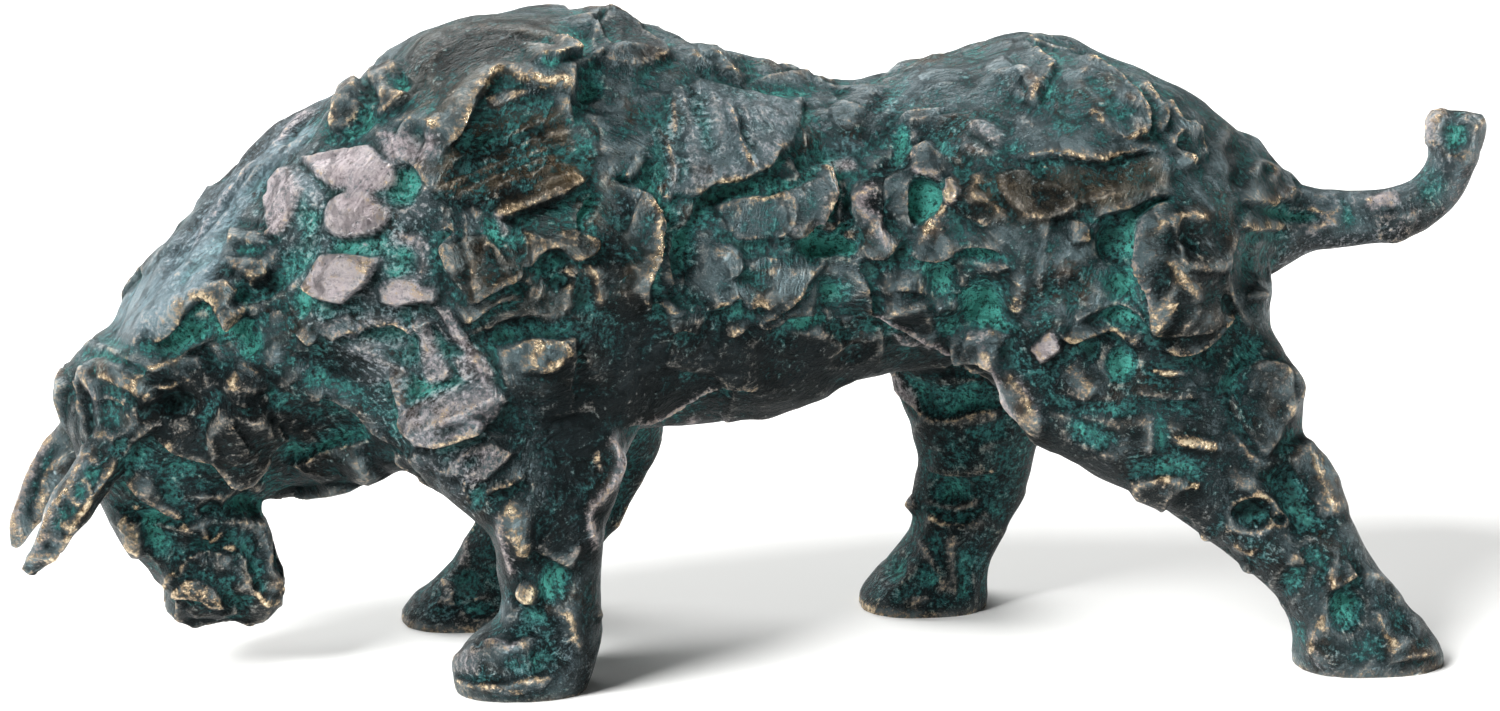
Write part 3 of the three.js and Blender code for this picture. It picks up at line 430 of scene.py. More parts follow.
# Planes that the photograph shows smooth, and the tones that lie over whole areas
def modelPlanes(m):
    hump = [(404, 40), (440, 18), (500, 8), (560, 10), (574, 36), (574, 60), (540, 76), (500, 76), (470, 108),
            (446, 132), (404, 120), (385, 100)]
    ribs = [(437, 158), (478, 112), (560, 108), (577, 140), (592, 155), (587, 186), (512, 222), (487, 210),
            (436, 196)]
    backSlab = [(672, 92), (700, 82), (760, 92), (806, 96), (800, 128), (790, 150), (770, 170), (738, 180),
                (692, 194), (664, 196), (650, 140)]
    neckTop = [(96, 356), (150, 255), (210, 180), (280, 110), (345, 62), (352, 92), (300, 122), (262, 185),
               (236, 230), (220, 285), (170, 330)]
    neckSide = [(262, 150), (340, 140), (436, 150), (440, 300), (500, 390), (470, 520), (400, 440), (290, 300)]
    belly = [(610, 350), (700, 345), (830, 335), (860, 360), (830, 410), (730, 425), (620, 440)]
    rump = [(866, 120), (910, 66), (1000, 44), (1080, 52), (1150, 90), (1220, 150), (1110, 156), (1000, 160),
            (900, 126)]
    rumpEnd = [(1070, 30), (1200, 60), (1300, 190), (1240, 240), (1180, 200), (1120, 110)]
    haunch = [(1010, 176), (1080, 172), (1130, 205), (1140, 300), (1080, 330), (1020, 320), (1006, 230)]
    shoulder = [(560, 320), (640, 300), (660, 380), (610, 420), (600, 560), (540, 600), (548, 440)]
    foreleg = [(450, 440), (620, 400), (640, 520), (620, 720), (430, 720), (470, 560)]
    hindLeg = [(1010, 330), (1320, 320), (1340, 470), (1480, 640), (1470, 710), (1270, 710), (1170, 550),
               (1000, 450)]
    farLegs = [(400, 500), (680, 400), (680, 640), (400, 640)]
    farHind = [(850, 350), (1050, 400), (1020, 630), (840, 630)]
    tail = [(1270, 180), (1440, 190), (1400, 100), (1500, 90), (1500, 200), (1400, 260), (1270, 280)]
    for outline, calm in (
        (rumpEnd, 0.95), (hump, 0.9), (ribs, 0.9), (backSlab, 0.9), (neckTop, 0.85), (belly, 0.7), (rump, 0.75),
        (haunch, 0.5), (shoulder, 0.7), (neckSide, 0.6), (hindLeg, 0.9), (foreleg, 0.9), (farLegs, 0.9),
        (farHind, 0.9), (tail, 0.8),
    ):
        m.wash(outline, 2.5, "rim", calm=calm)
    # bluish washes are a painted reflection of the light above, pale ones a painted sheen on burnished metal
    m.wash(neckTop, 3, blue=0.6, pale=0.25)
    m.wash(neckSide, 5, blue=0.42, pale=0.36)
    m.wash(hump, 3, brown=0.7)
    m.wash([(1270, 180), (1440, 190), (1490, 110), (1410, 100), (1400, 250), (1270, 280)], 3, blue=0.35)
    m.wash([(640, 190), (860, 180), (870, 310), (650, 320)], 5, blue=0.22, green=0.15)
    m.wash([(440, 600), (590, 590), (600, 705), (440, 705)], blue=0.3)
    m.wash([(1200, 500), (1300, 480), (1460, 660), (1290, 690)], blue=0.2, green=0.2)
    m.wash(backSlab, 2, blue=0.45, pale=0.35, green=0.15)
    m.wash(rump, blue=0.22)
    # the dark washes are painted shade on the belly, shoulder and legs, which face away from the light
    m.wash(belly, 3, dark=0.8)
    m.wash(shoulder, dark=0.6)
    m.wash(ribs, 2, brown=1.0, gold=0.25)
    m.wash(hindLeg, dark=0.3)
    m.wash(foreleg, dark=0.3)
    m.wash(tail, 2, pale=0.25)
    # face, cheek, bulge over the thigh, shoulder, and the front of the rump and the thigh; the dark tone on them is
    # painted shade
    m.wash([(96, 452), (150, 440), (290, 470), (290, 600), (250, 630), (180, 620), (120, 530)], green=0.5, dark=0.5)
    m.wash([(140, 400), (200, 365), (290, 380), (320, 420), (300, 480), (200, 470), (140, 450)], dark=0.95, brown=0.3)
    m.wash([(1140, 205), (1200, 195), (1240, 230), (1240, 320), (1200, 350), (1155, 345)], 3, dark=0.3, brown=0.5)
    m.wash([(480, 220), (600, 180), (660, 240), (650, 330), (520, 330), (440, 300), (440, 240)], brown=0.6)
    m.wash([(950, 170), (1060, 160), (1140, 150), (1180, 190), (1090, 220), (1010, 230), (960, 215)], brown=0.9)
    m.wash([(1000, 330), (1160, 340), (1240, 400), (1220, 480), (1040, 440)], 5, brown=0.35)
    # the far legs: verdigris, and painted shade where they stand behind
    m.wash(farLegs, 1, "far", dark=0.9, green=0.85)
    m.wash(farHind, 1, "far", dark=0.85, green=0.85)


def modelHead(m):
    # poll and forelock
    m.crest([(74, 368), (86, 376), (92, 388), (91, 407), (94, 428), (84, 450)], rise=0.5, wide=1.4, gold=0.3,
            pale=0.5)
    m.comb([(60, 385), (72, 362), (90, 384), (93, 430), (82, 455), (62, 420)], turn=-70, pitch=1.7, deep=0.5,
           dark=0.3)
    m.slab([(92, 402), (124, 404), (134, 424), (118, 440), (98, 432)], rise=0.5, lean=-0.06, leanTo=90, brown=0.5)
    m.lip([(90, 404), (106, 401), (126, 408)], rise=0.9, fade=8, under=0.4, gold=1.0, pale=0.5)
    m.comb([(74, 352), (110, 340), (160, 345), (150, 380), (110, 378), (84, 368)], turn=-12, pitch=1.8, deep=0.4,
           green=0.5)
    m.lip([(96, 381), (112, 386), (128, 390), (142, 398)], rise=1.1, fade=4, under=0.7, gold=0.9)
    # ear and the eye under it
    m.crest([(120, 392), (136, 384), (150, 370), (166, 360), (178, 362), (190, 350), (206, 338), (218, 346)],
            rise=1.5,
            wide=3.4, gold=0.55, brown=0.8)
    m.crest([(136, 398), (152, 392), (166, 384), (186, 382), (196, 372)], rise=1.0, wide=2.4, gold=0.6, brown=0.8)
    m.crest([(150, 361), (163, 366), (171, 358)], rise=0.7, wide=0.9, gold=0.9)
    m.crest([(150, 388), (158, 382), (170, 384), (184, 379)], rise=0.8, wide=0.9, gold=0.9)
    m.press((168, 408), (34, 15), turn=8, rise=-1.7, dark=1.0)
    m.slab([(182, 354), (190, 340), (208, 333), (220, 342), (221, 360), (208, 353), (192, 356)], rise=1.3, rim=0.9)
    m.lip([(147, 348), (162, 340), (175, 329), (188, 311), (200, 300), (214, 306), (224, 317), (241, 318)],
          rise=1.7, fade=5, under=1.5, reach=5, gold=0.9, green=0.9)
    m.slab([(195, 302), (208, 287), (224, 281), (237, 289), (245, 307), (240, 319), (224, 322), (211, 305)],
           rise=1.3, rim=0.8, dark=0.3)
    m.press((192, 331), (22, 12), turn=35, rise=-1.2, green=0.9)
    # brow, cheek and jowl
    m.press((246, 388), (25, 23), rise=1.6, flat=0.7, dark=0.3)
    m.crest([(229, 392), (234, 370), (244, 363), (256, 368), (268, 380)], rise=0.5, wide=1.6, gold=0.8)
    m.press((238, 432), (30, 34), turn=-20, rise=1.4, flat=0.7, dark=0.35)
    m.groove([(204, 388), (212, 402), (206, 420), (196, 432)], deep=1.0, wide=2.0, green=0.8)
    m.lip([(150, 440), (165, 449), (185, 459), (212, 465), (232, 472), (250, 476), (263, 470), (276, 450)],
          rise=1.7, fade=8, under=2.2, reach=5, gold=0.25, green=0.85)
    m.tone((255, 437), (12, 6), gold=0.45)
    m.press((250, 505), (22, 9), turn=-10, rise=-1.2, green=0.9)
    m.press((257, 487), (12, 10), rise=1.2)
    # face plane, nose and muzzle
    m.lip([(121, 470), (135, 486), (150, 503), (168, 516), (187, 523)], high="up", rise=1.2, fade=5, under=0.8,
          gold=0.35)
    m.crest([(173, 518), (181, 523), (189, 521)], rise=0.7, wide=1.3, gold=1.0)
    m.groove([(138, 458), (158, 478), (175, 497), (190, 513)], deep=0.8, wide=1.6, green=0.7)
    m.press((211, 508), (14, 10), turn=25, rise=-1.3, dark=0.7, green=0.5)
    m.crest([(197, 530), (212, 536), (227, 528)], rise=1.0, wide=1.6, gold=1.0)
    m.press((229, 547), (8, 6), rise=0.8, gold=0.9)
    m.tone((150, 500), (28, 18), turn=-50, green=0.75)
    m.press((134, 532), (11, 22), turn=25, rise=1.5, dark=0.3)
    m.crest([(121, 530), (128, 514), (142, 511)], rise=0.7, wide=1.3, gold=1.0)
    m.crest([(124, 534), (135, 548), (146, 558), (152, 565)], rise=0.6, wide=1.4, gold=1.0)
    m.press((158, 535), (17, 24), turn=20, rise=-1.2, green=0.95)
    m.crest([(182, 558), (172, 577), (163, 596)], rise=1.1, wide=1.8, gold=0.8)
    m.lip([(184, 560), (195, 548), (212, 548), (236, 556)], high="down", rise=0.9, fade=5, under=0.9, gold=0.3,
          green=0.9)
    m.groove([(182, 572), (200, 574), (222, 578), (238, 590)], deep=0.9, wide=2.2, green=0.9)
    m.slab([(172, 595), (185, 581), (200, 580), (214, 587), (221, 599), (226, 612), (212, 613), (198, 606),
           (180, 601)],
           rise=1.5, sharp=False, gold=0.75, rim=0.9)
    m.comb([(172, 595), (200, 580), (226, 612), (190, 606)], turn=-25, pitch=1.6, deep=0.3)
    m.groove([(221, 594), (236, 603), (254, 610)], deep=1.6, wide=1.8, dark=0.8)
    m.press((275, 578), (15, 28), turn=8, rise=1.1, dark=0.4)
    m.crest([(256, 588), (266, 602), (279, 604)], rise=0.7, wide=1.3, gold=0.9)
    m.press((205, 618), (30, 9), turn=-8, rise=0.7, dark=0.2)
    m.tone((235, 575), (26, 12), green=0.7)
    m.tone((276, 520), (16, 28), dark=0.8)
    # horns: each a dished channel between two ragged edges
    m.crest([(96, 438), (80, 462), (69, 487), (51, 512), (38, 545), (27, 574)], rise=1.0, wide=1.5, gold=0.5,
            pale=0.6)
    m.crest([(115, 448), (105, 480), (92, 501), (76, 522), (57, 550), (40, 574)], rise=1.0, wide=1.5, gold=0.9)
    m.groove([(98, 456), (88, 476), (77, 500), (64, 520), (52, 540)], deep=1.5, wide=2.0, green=1.0)
    m.crest([(56, 528), (66, 527), (76, 521)], rise=1.0, wide=1.2, gold=1.0)
    m.crest([(82, 500), (74, 503), (68, 509)], rise=0.7, wide=1.0, gold=0.7)
    m.groove([(112, 470), (100, 492), (82, 518), (60, 548)], deep=0.7, wide=1.0, green=0.1, dark=0.5)
    for start, end in (
        ((99, 470), (85, 461)), ((91, 490), (77, 480)), ((80, 508), (66, 497)), ((66, 528), (54, 515)),
        ((56, 545), (45, 534)), ((47, 560), (38, 552)),
    ):
        middle = ((start[0] + end[0]) / 2, (start[1] + end[1]) / 2 - 3)
        m.crest([start, middle, end], rise=0.8, wide=1.3, gold=0.6, pale=0.5)
    m.crest([(94, 440), (104, 436), (116, 444)], rise=1.0, wide=1.6, gold=0.8, pale=0.5)
    m.crest([(58, 424), (38, 460), (23, 495), (15, 520), (12, 548)], rise=0.9, wide=1.4, gold=0.2, pale=0.9,
            layer="far")
    m.crest([(70, 452), (46, 472), (41, 500), (30, 520)], rise=0.9, wide=1.3, gold=0.6, layer="far")
    m.groove([(62, 440), (44, 470), (32, 500), (22, 530)], deep=1.0, wide=1.6, green=0.8, dark=0.4, layer="far")


def modelNeck(m):
    m.groove([(338, 92), (300, 112), (272, 138), (243, 162), (222, 190), (205, 215), (187, 243), (170, 275),
             (156, 302)],
             deep=1.7, wide=2.2, green=0.2, dark=0.9)
    m.crest([(322, 106), (297, 114), (281, 131), (268, 152)], rise=0.9, wide=1.3, gold=0.35, pale=0.7)
    m.crest([(262, 150), (240, 172), (216, 205), (196, 238), (180, 268)], rise=0.7, wide=1.2, gold=0.2, pale=0.6)
    m.comb([(130, 330), (170, 260), (230, 170), (300, 118), (330, 120), (262, 190), (230, 240), (215, 285),
           (160, 335)],
           turn=50, pitch=2.2, deep=0.5, blue=0.85)
    m.tone((150, 290), (62, 20), turn=52, blue=0.8)
    m.tone((200, 262), (46, 14), turn=50, green=0.55)
    m.groove([(175, 330), (196, 300), (214, 280), (226, 262)], deep=0.5, wide=1.1, green=0.2, dark=0.5)
    m.groove([(193, 265), (207, 240), (222, 222)], deep=0.4, wide=0.9, dark=0.4, green=0.1)
    # small square steps over the throat
    m.slab([(240, 200), (260, 187), (268, 202), (266, 222), (234, 221)], rise=0.8, pale=0.3, blue=0.3)
    m.slab([(232, 230), (268, 229), (268, 243), (231, 246)], rise=1.0, dark=0.2, rim=0.7)
    m.slab([(228, 260), (267, 257), (269, 273), (251, 278), (232, 273)], rise=1.1, rim=0.6, dark=0.3)
    m.slab([(248, 272), (263, 268), (268, 290), (262, 300), (250, 292)], rise=1.0, rim=0.7)
    m.groove([(232, 250), (268, 250)], deep=0.8, wide=1.5, green=0.9)
    m.groove([(232, 282), (240, 296), (252, 305)], deep=0.9, wide=2.0, green=0.9)
    # pale slabs: burnished metal with a painted sheen
    m.slab([(302, 160), (345, 152), (372, 151), (396, 172), (398, 187), (372, 193), (336, 189), (322, 178)],
           rise=1.4, lean=0.03, leanTo=90, pale=0.95, rim=0.2)
    m.groove([(347, 176), (338, 190), (332, 198)], deep=0.7, wide=1.0, green=0.1, blue=0.5)
    m.slab([(327, 207), (340, 195), (365, 191), (383, 204), (391, 216), (380, 230), (362, 237), (340, 235),
           (328, 226)],
           rise=1.8, sharp=False, pale=1.0, rim=0.1)
    m.groove([(338, 206), (352, 201), (368, 204), (379, 213)], deep=0.5, wide=1.0, green=0.0, dark=0.4)
    m.slab([(267, 185), (280, 172), (293, 170), (301, 190), (292, 215), (278, 236), (265, 232), (264, 200)],
           rise=1.2, pale=0.8, rim=0.15)
    m.slab([(296, 165), (312, 175), (326, 200), (323, 214), (308, 203), (298, 185)], rise=0.5, blue=0.7, green=0.1)
    m.tone((306, 215), (14, 38), turn=-8, green=0.75)
    m.groove([(300, 195), (306, 218), (305, 245), (296, 275), (280, 300)], deep=1.0, wide=3.0, green=0.8)
    m.slab([(322, 257), (380, 257), (371, 276), (342, 302), (316, 297), (303, 287)], rise=1.8, lean=-0.03, leanTo=90,
           pale=0.95, rim=0.15)
    m.lip([(292, 296), (303, 288), (320, 300), (338, 305)], rise=0.9, fade=3, under=0.9, gold=0.9)
    m.groove([(330, 247), (352, 250), (378, 246), (392, 238)], deep=1.1, wide=2.6, green=0.85)
    m.slab([(380, 287), (400, 277), (415, 277), (423, 287), (437, 290), (435, 302), (397, 303), (382, 298)],
           rise=1.6, pale=0.9, rim=0.2)
    m.groove([(400, 240), (403, 256), (396, 272), (384, 282)], deep=1.3, wide=3.0, green=0.9)
    m.crest([(424, 256), (424, 270), (420, 282)], rise=0.8, wide=1.2, gold=0.2, pale=0.7)
    m.slab([(398, 232), (420, 234), (432, 250), (424, 258), (404, 246)], rise=0.7, pale=0.6)
    m.press((404, 188), (17, 24), turn=-18, rise=-1.7, green=0.95)
    m.lip([(384, 172), (400, 167), (414, 165), (422, 178), (424, 196)], high="up", rise=1.0, under=0.9, gold=0.4,
          green=0.9)
    m.comb([(382, 137), (435, 134), (440, 152), (400, 166), (384, 160)], turn=78, pitch=1.9, deep=0.75, pale=0.8)
    m.lip([(352, 346), (362, 331), (380, 326), (400, 328), (409, 344)], rise=1.0, fade=4, under=0.8, gold=0.9,
          green=0.5)
    m.lip([(333, 346), (340, 338), (356, 334)], rise=0.9, fade=4, under=0.7, gold=0.8)
    m.groove([(396, 305), (410, 325), (414, 345), (416, 362)], deep=1.2, wide=1.6, green=0.7, dark=0.2)
    m.groove([(427, 322), (437, 342), (452, 360)], deep=1.2, wide=1.6, green=0.7, dark=0.2)
    m.slab([(411, 322), (427, 321), (440, 348), (452, 376), (430, 386), (421, 362)], rise=1.0, pale=0.6, rim=0.2)
    m.slab([(436, 306), (450, 307), (464, 330), (486, 356), (498, 376), (480, 368), (458, 344)], rise=1.0, pale=0.7)
    m.lip([(292, 334), (300, 342), (312, 347), (320, 336)], rise=0.9, fade=4, under=0.7, gold=0.9, green=0.4)
    m.crest([(279, 308), (274, 330), (271, 352), (268, 376)], rise=0.9, wide=2.0, gold=0.3)
    m.press((246, 335), (17, 28), turn=12, rise=-1.3, green=0.9)
    m.press((300, 300), (10, 20), rise=-1.0, green=0.7)
    m.tone((330, 400), (36, 26), green=0.5)
    m.groove([(262, 392), (285, 396), (305, 388), (318, 372)], deep=1.2, wide=2.4, green=0.85)
    m.press((300, 425), (34, 22), turn=-15, rise=1.0, dark=0.5)
    m.lip([(288, 475), (300, 463), (330, 449), (372, 440)], high="down", rise=1.1, fade=6, under=1.2, reach=5,
          gold=0.5,
          green=0.9)
    m.lip([(400, 440), (404, 420), (396, 395), (388, 372)], high="right", rise=1.3, fade=4, under=1.2, reach=5,
          gold=0.2,
          green=0.8)
    m.groove([(405, 372), (410, 384), (420, 378)], deep=1.6, wide=2.4, green=1.0)
    # tabs on the crest of the neck
    m.slab([(340, 92), (350, 80), (362, 90), (365, 105), (357, 125), (342, 135), (332, 131), (340, 110)],
           rise=1.9, sharp=False, rim=0.8, dark=0.3)
    m.slab([(375, 75), (387, 65), (402, 68), (395, 87), (407, 97), (382, 115), (380, 100), (372, 85)],
           rise=1.7, sharp=False, rim=0.8, dark=0.2)
    m.press((398, 84), (14, 11), rise=-1.2, green=0.8)
    m.groove([(300, 150), (318, 130), (336, 140), (360, 128), (392, 112)], deep=0.6, wide=2.0, green=0.5)


def modelShoulder(m):
    # smooth slab of the hump, with the torn edge at its right
    m.tone((470, 52), (70, 26), turn=12, dark=0.35)
    m.tone((560, 32), (12, 7), green=0.8)
    m.lip([(530, 77), (542, 72), (556, 73), (569, 63), (577, 59), (571, 46), (552, 37)], high="left", rise=1.5,
          fade=8,
          under=1.6, reach=4, gold=1.0, green=1.0)
    m.slab([(592, 30), (606, 15), (628, 19), (645, 34), (663, 52), (665, 66), (640, 73), (610, 68), (590, 58)],
           rise=1.4, rim=0.4, dark=0.3)
    m.press((606, 42), (14, 16), rise=-0.6, green=0.5)
    # the great flap, and the ribbed plane under it
    m.lip([(436, 160), (446, 146), (458, 132), (474, 106), (487, 88), (502, 76), (520, 84), (542, 87), (564, 91),
           (575, 102), (570, 112)], high="up", rise=2.0, fade=9, under=0.5, reach=5, gold=1.0, green=0.1, brown=1.0)
    m.tone((470, 120), (44, 9), turn=58, gold=0.6)
    m.tone((528, 88), (48, 7), turn=-12, gold=0.75)
    m.crest([(398, 132), (412, 124), (430, 127), (446, 134)], rise=1.0, wide=2.0, gold=0.9)
    m.tone((490, 92), (16, 6), turn=52, gold=0.9)
    m.tone((430, 118), (14, 5), turn=25, green=0.9)
    m.crest([(404, 122), (424, 112), (440, 106)], rise=0.5, wide=1.4, gold=0.6)
    m.comb([(437, 158), (478, 112), (560, 108), (577, 140), (592, 155), (587, 186), (512, 222), (487, 210),
           (436, 196)],
           turn=23, pitch=1.9, deep=0.42, uneven=0.8, brown=0.9, gold=0.2)
    m.groove([(430, 182), (470, 164), (510, 148), (560, 128)], deep=0.7, wide=1.5, green=0.2, dark=0.4)
    m.groove([(438, 196), (480, 180), (520, 164), (572, 144)], deep=0.6, wide=1.2, green=0.3, dark=0.2)
    m.groove([(452, 152), (490, 134), (530, 116), (560, 108)], deep=0.5, wide=1.3, green=0.4)
    m.crest([(462, 168), (500, 152), (540, 137), (572, 128)], rise=0.5, wide=1.1, gold=0.4)
    m.lip([(487, 223), (505, 218), (530, 210), (556, 199), (576, 188), (592, 171)], rise=2.0, fade=9, under=1.4,
          reach=5,
          gold=0.65, green=0.25)
    m.groove([(436, 197), (460, 203), (484, 204), (500, 196), (540, 188)], deep=1.1, wide=1.8, green=0.3, dark=0.6)
    m.groove([(484, 211), (492, 228), (504, 246)], deep=1.8, wide=1.8, green=1.0)
    m.crest([(491, 210), (500, 222), (508, 240)], rise=0.9, wide=1.1, gold=0.2, pale=0.9)
    m.groove([(575, 84), (583, 100), (576, 118), (585, 138), (598, 152)], deep=1.5, wide=2.6, green=0.75)
    m.press((592, 88), (16, 12), rise=-1.1, green=0.6)
    m.lip([(616, 172), (624, 178), (628, 182)], rise=0.9, fade=5, under=0.8, gold=0.9)
    m.press((552, 200), (38, 8), turn=27, rise=-0.5, dark=0.4)
    # striped slab and its steps
    m.slab([(440, 250), (486, 233), (506, 258), (523, 268), (516, 284), (470, 300), (450, 276)], rise=1.3, edge=0.5,
           dark=0.2, gold=0.12)
    m.comb([(440, 250), (486, 233), (523, 268), (516, 300), (460, 325), (448, 290)], turn=22, pitch=2.4, deep=0.45)
    m.lip([(435, 231), (452, 233), (441, 250), (446, 276)], high="right", rise=0.9, fade=4, under=0.8, gold=0.9)
    m.lip([(462, 324), (480, 312), (500, 303), (524, 300)], rise=1.3, fade=5, under=1.0, gold=0.9, green=0.3)
    m.lip([(470, 300), (492, 290), (515, 282), (535, 286)], rise=0.9, fade=4, under=0.8, gold=0.7, green=0.5)
    m.lip([(510, 240), (524, 232), (548, 238), (572, 228), (594, 240), (590, 256), (572, 260)], high="down", rise=0.7,
          fade=5, under=0.3, gold=0.9)
    m.lip([(515, 262), (530, 266), (545, 251), (558, 250), (574, 262), (592, 254)], rise=1.5, fade=6, under=1.3,
          gold=0.95,
          green=0.7)
    m.groove([(548, 252), (555, 270), (560, 290)], deep=2.2, wide=2.6, green=0.6, dark=0.8)
    m.crest([(562, 262), (568, 278), (566, 296), (572, 312)], rise=1.4, wide=1.8, gold=0.3, pale=0.3)
    m.crest([(578, 260), (590, 272), (598, 292), (600, 312)], rise=1.0, wide=1.6, gold=0.8)
    # upright edge of the rib cage
    m.lip([(600, 178), (622, 184), (643, 194), (658, 206), (667, 226), (662, 250), (652, 278), (650, 300),
          (656, 320)],
          high="left", rise=1.9, fade=7, under=1.3, reach=5, gold=0.75, green=0.6)
    m.tone((655, 250), (10, 46), gold=0.35)
    m.groove([(672, 205), (676, 228), (682, 250), (676, 282)], deep=1.6, wide=3.0, green=0.7, dark=0.5)
    m.press((686, 238), (10, 14), rise=-0.9, green=1.0)
    m.press((622, 210), (17, 26), turn=10, rise=-0.8, blue=0.35, dark=0.3)
    m.press((588, 208), (6, 18), turn=-28, rise=-1.6, green=0.9)
    m.tone((605, 260), (22, 36), dark=0.55)
    # elbow and the front of the shoulder
    m.lip([(490, 348), (512, 345), (533, 338), (552, 341), (568, 336), (580, 338)], high="down", rise=1.6, fade=9,
          under=1.4, gold=0.9, green=0.5)
    m.press((545, 356), (24, 17), turn=25, rise=1.1, flat=0.8, gold=0.7)
    m.crest([(520, 372), (532, 360), (548, 368), (560, 358)], rise=0.6, wide=1.4, gold=0.8)
    m.groove([(482, 338), (510, 334), (540, 326), (572, 326)], deep=1.2, wide=2.0, green=0.5, dark=0.7)
    m.slab([(405, 402), (441, 386), (481, 380), (507, 397), (498, 416), (481, 431), (441, 444), (417, 447),
           (405, 422)],
           rise=1.3, pale=0.55, rim=0.2)
    m.groove([(446, 386), (440, 396), (432, 404)], deep=0.7, wide=1.1, green=0.2, dark=0.4)
    m.crest([(430, 420), (458, 412), (486, 398), (504, 392)], rise=0.9, wide=2.2, gold=0.1, pale=0.9)
    m.press((454, 424), (30, 8), turn=18, rise=-0.8, green=0.4, blue=0.6)
    m.lip([(430, 445), (450, 441), (468, 436), (488, 428)], rise=1.2, fade=4, under=1.2, gold=0.7, green=0.4)
    m.slab([(450, 358), (480, 350), (504, 395), (480, 384), (462, 378)], rise=0.9, pale=0.6)
    m.groove([(404, 398), (430, 388), (455, 386), (462, 374)], deep=1.0, wide=1.8, green=0.8)
    m.slab([(444, 470), (472, 446), (494, 440), (515, 452), (488, 476), (473, 492), (466, 476)], rise=1.1, pale=0.45,
           rim=0.2)
    m.press((470, 462), (16, 8), turn=30, rise=-0.7, green=0.5, blue=0.4)
    m.crest([(429, 470), (445, 474), (460, 477), (468, 492), (474, 512)], rise=0.8, wide=1.1, gold=0.95)
    m.lip([(486, 496), (498, 491), (512, 486), (528, 476)], rise=1.0, fade=4, under=0.9, gold=0.7, green=0.5)
    m.groove([(480, 474), (474, 496), (478, 512)], deep=1.0, wide=1.8, green=0.6)
    m.tone((432, 450), (26, 50), turn=20, pale=0.25, blue=0.35)
    m.tone((576, 440), (34, 70), dark=0.9)
    m.press((590, 360), (26, 28), rise=0.9, dark=0.6)


def modelForelegs(m):
    m.crest([(500, 500), (511, 513), (515, 535), (524, 550), (532, 560)], rise=1.6, wide=3.2, gold=1.0)
    m.tone((512, 520), (9, 34), turn=14, gold=0.7)
    m.crest([(497, 506), (502, 530), (510, 560), (515, 588)], rise=0.8, wide=1.6, gold=0.2, pale=0.7)
    m.press((545, 545), (22, 40), rise=-0.6, dark=0.7)
    m.lip([(532, 550), (552, 561), (571, 572)], rise=0.9, fade=5, under=0.8, gold=0.5)
    m.press((554, 585), (20, 24), turn=-30, rise=-1.1, green=0.8)
    m.press((528, 593), (13, 14), rise=2.1, flat=0.8, gold=0.95)
    m.press((508, 612), (13, 18), turn=10, rise=0.7, blue=0.5, green=0.2)
    m.groove([(520, 606), (532, 616), (548, 612)], deep=1.3, wide=1.8, green=0.9)
    m.lip([(480, 640), (497, 640), (512, 645), (524, 638), (538, 640)], high="down", rise=1.1, fade=6, under=0.5,
          gold=0.2,
          green=0.5)
    m.crest([(480, 640), (497, 640), (512, 645), (524, 638)], rise=0.5, wide=1.2, gold=0.0, pale=0.9)
    m.press((520, 660), (24, 14), rise=-0.7, green=0.7)
    m.lip([(450, 676), (478, 682), (509, 679), (546, 675), (556, 684)], high="down", rise=0.8, fade=5, under=0.7,
          gold=0.95,
          green=0.4)
    m.press((514, 691), (12, 5), rise=0.7, gold=0.9)
    m.slab([(456, 655), (470, 645), (484, 650), (478, 676), (455, 672)], rise=0.7, pale=0.4, rim=0.3)
    m.crest([(553, 610), (566, 616), (574, 636), (583, 654)], rise=0.9, wide=1.8, gold=0.85)
    m.groove([(544, 616), (548, 640), (546, 668)], deep=0.9, wide=1.8, green=0.4, dark=0.4)
    m.tone((580, 660), (18, 36), dark=0.6)
    m.crest([(620, 414), (612, 440), (619, 468), (606, 492), (589, 510), (592, 536), (600, 562)], rise=1.3, wide=1.8,
            gold=0.1, pale=0.9)
    m.crest([(580, 543), (574, 556), (570, 570)], rise=0.8, wide=1.3, gold=0.1, pale=0.5)
    m.crest([(596, 446), (597, 462), (604, 476)], rise=0.6, wide=1.1, gold=0.6)
    m.press((604, 614), (9, 10), rise=0.7)
    # far foreleg
    m.lip([(441, 584), (452, 584), (457, 592), (455, 612)], high="left", rise=1.0, fade=5, under=0.8, gold=0.1,
          green=0.5,
          layer="far")
    m.groove([(452, 575), (468, 582), (480, 600)], deep=1.0, wide=2.0, green=0.8, layer="far")
    m.press((480, 610), (18, 10), rise=-0.8, green=0.8, layer="far")
    m.crest([(430, 600), (445, 585), (466, 560), (474, 530)], rise=0.8, wide=1.6, gold=0.1, pale=0.4, layer="far")
    m.tone((440, 600), (40, 30), blue=0.3, green=0.3, layer="far")
    m.tone((640, 433), (24, 9), turn=12, green=0.8, layer="far")
    m.crest([(650, 470), (632, 500), (610, 536)], rise=0.8, wide=1.6, gold=0.3, layer="far")
    m.groove([(640, 452), (622, 486), (606, 520)], deep=0.9, wide=1.8, green=0.4, dark=0.4, layer="far")


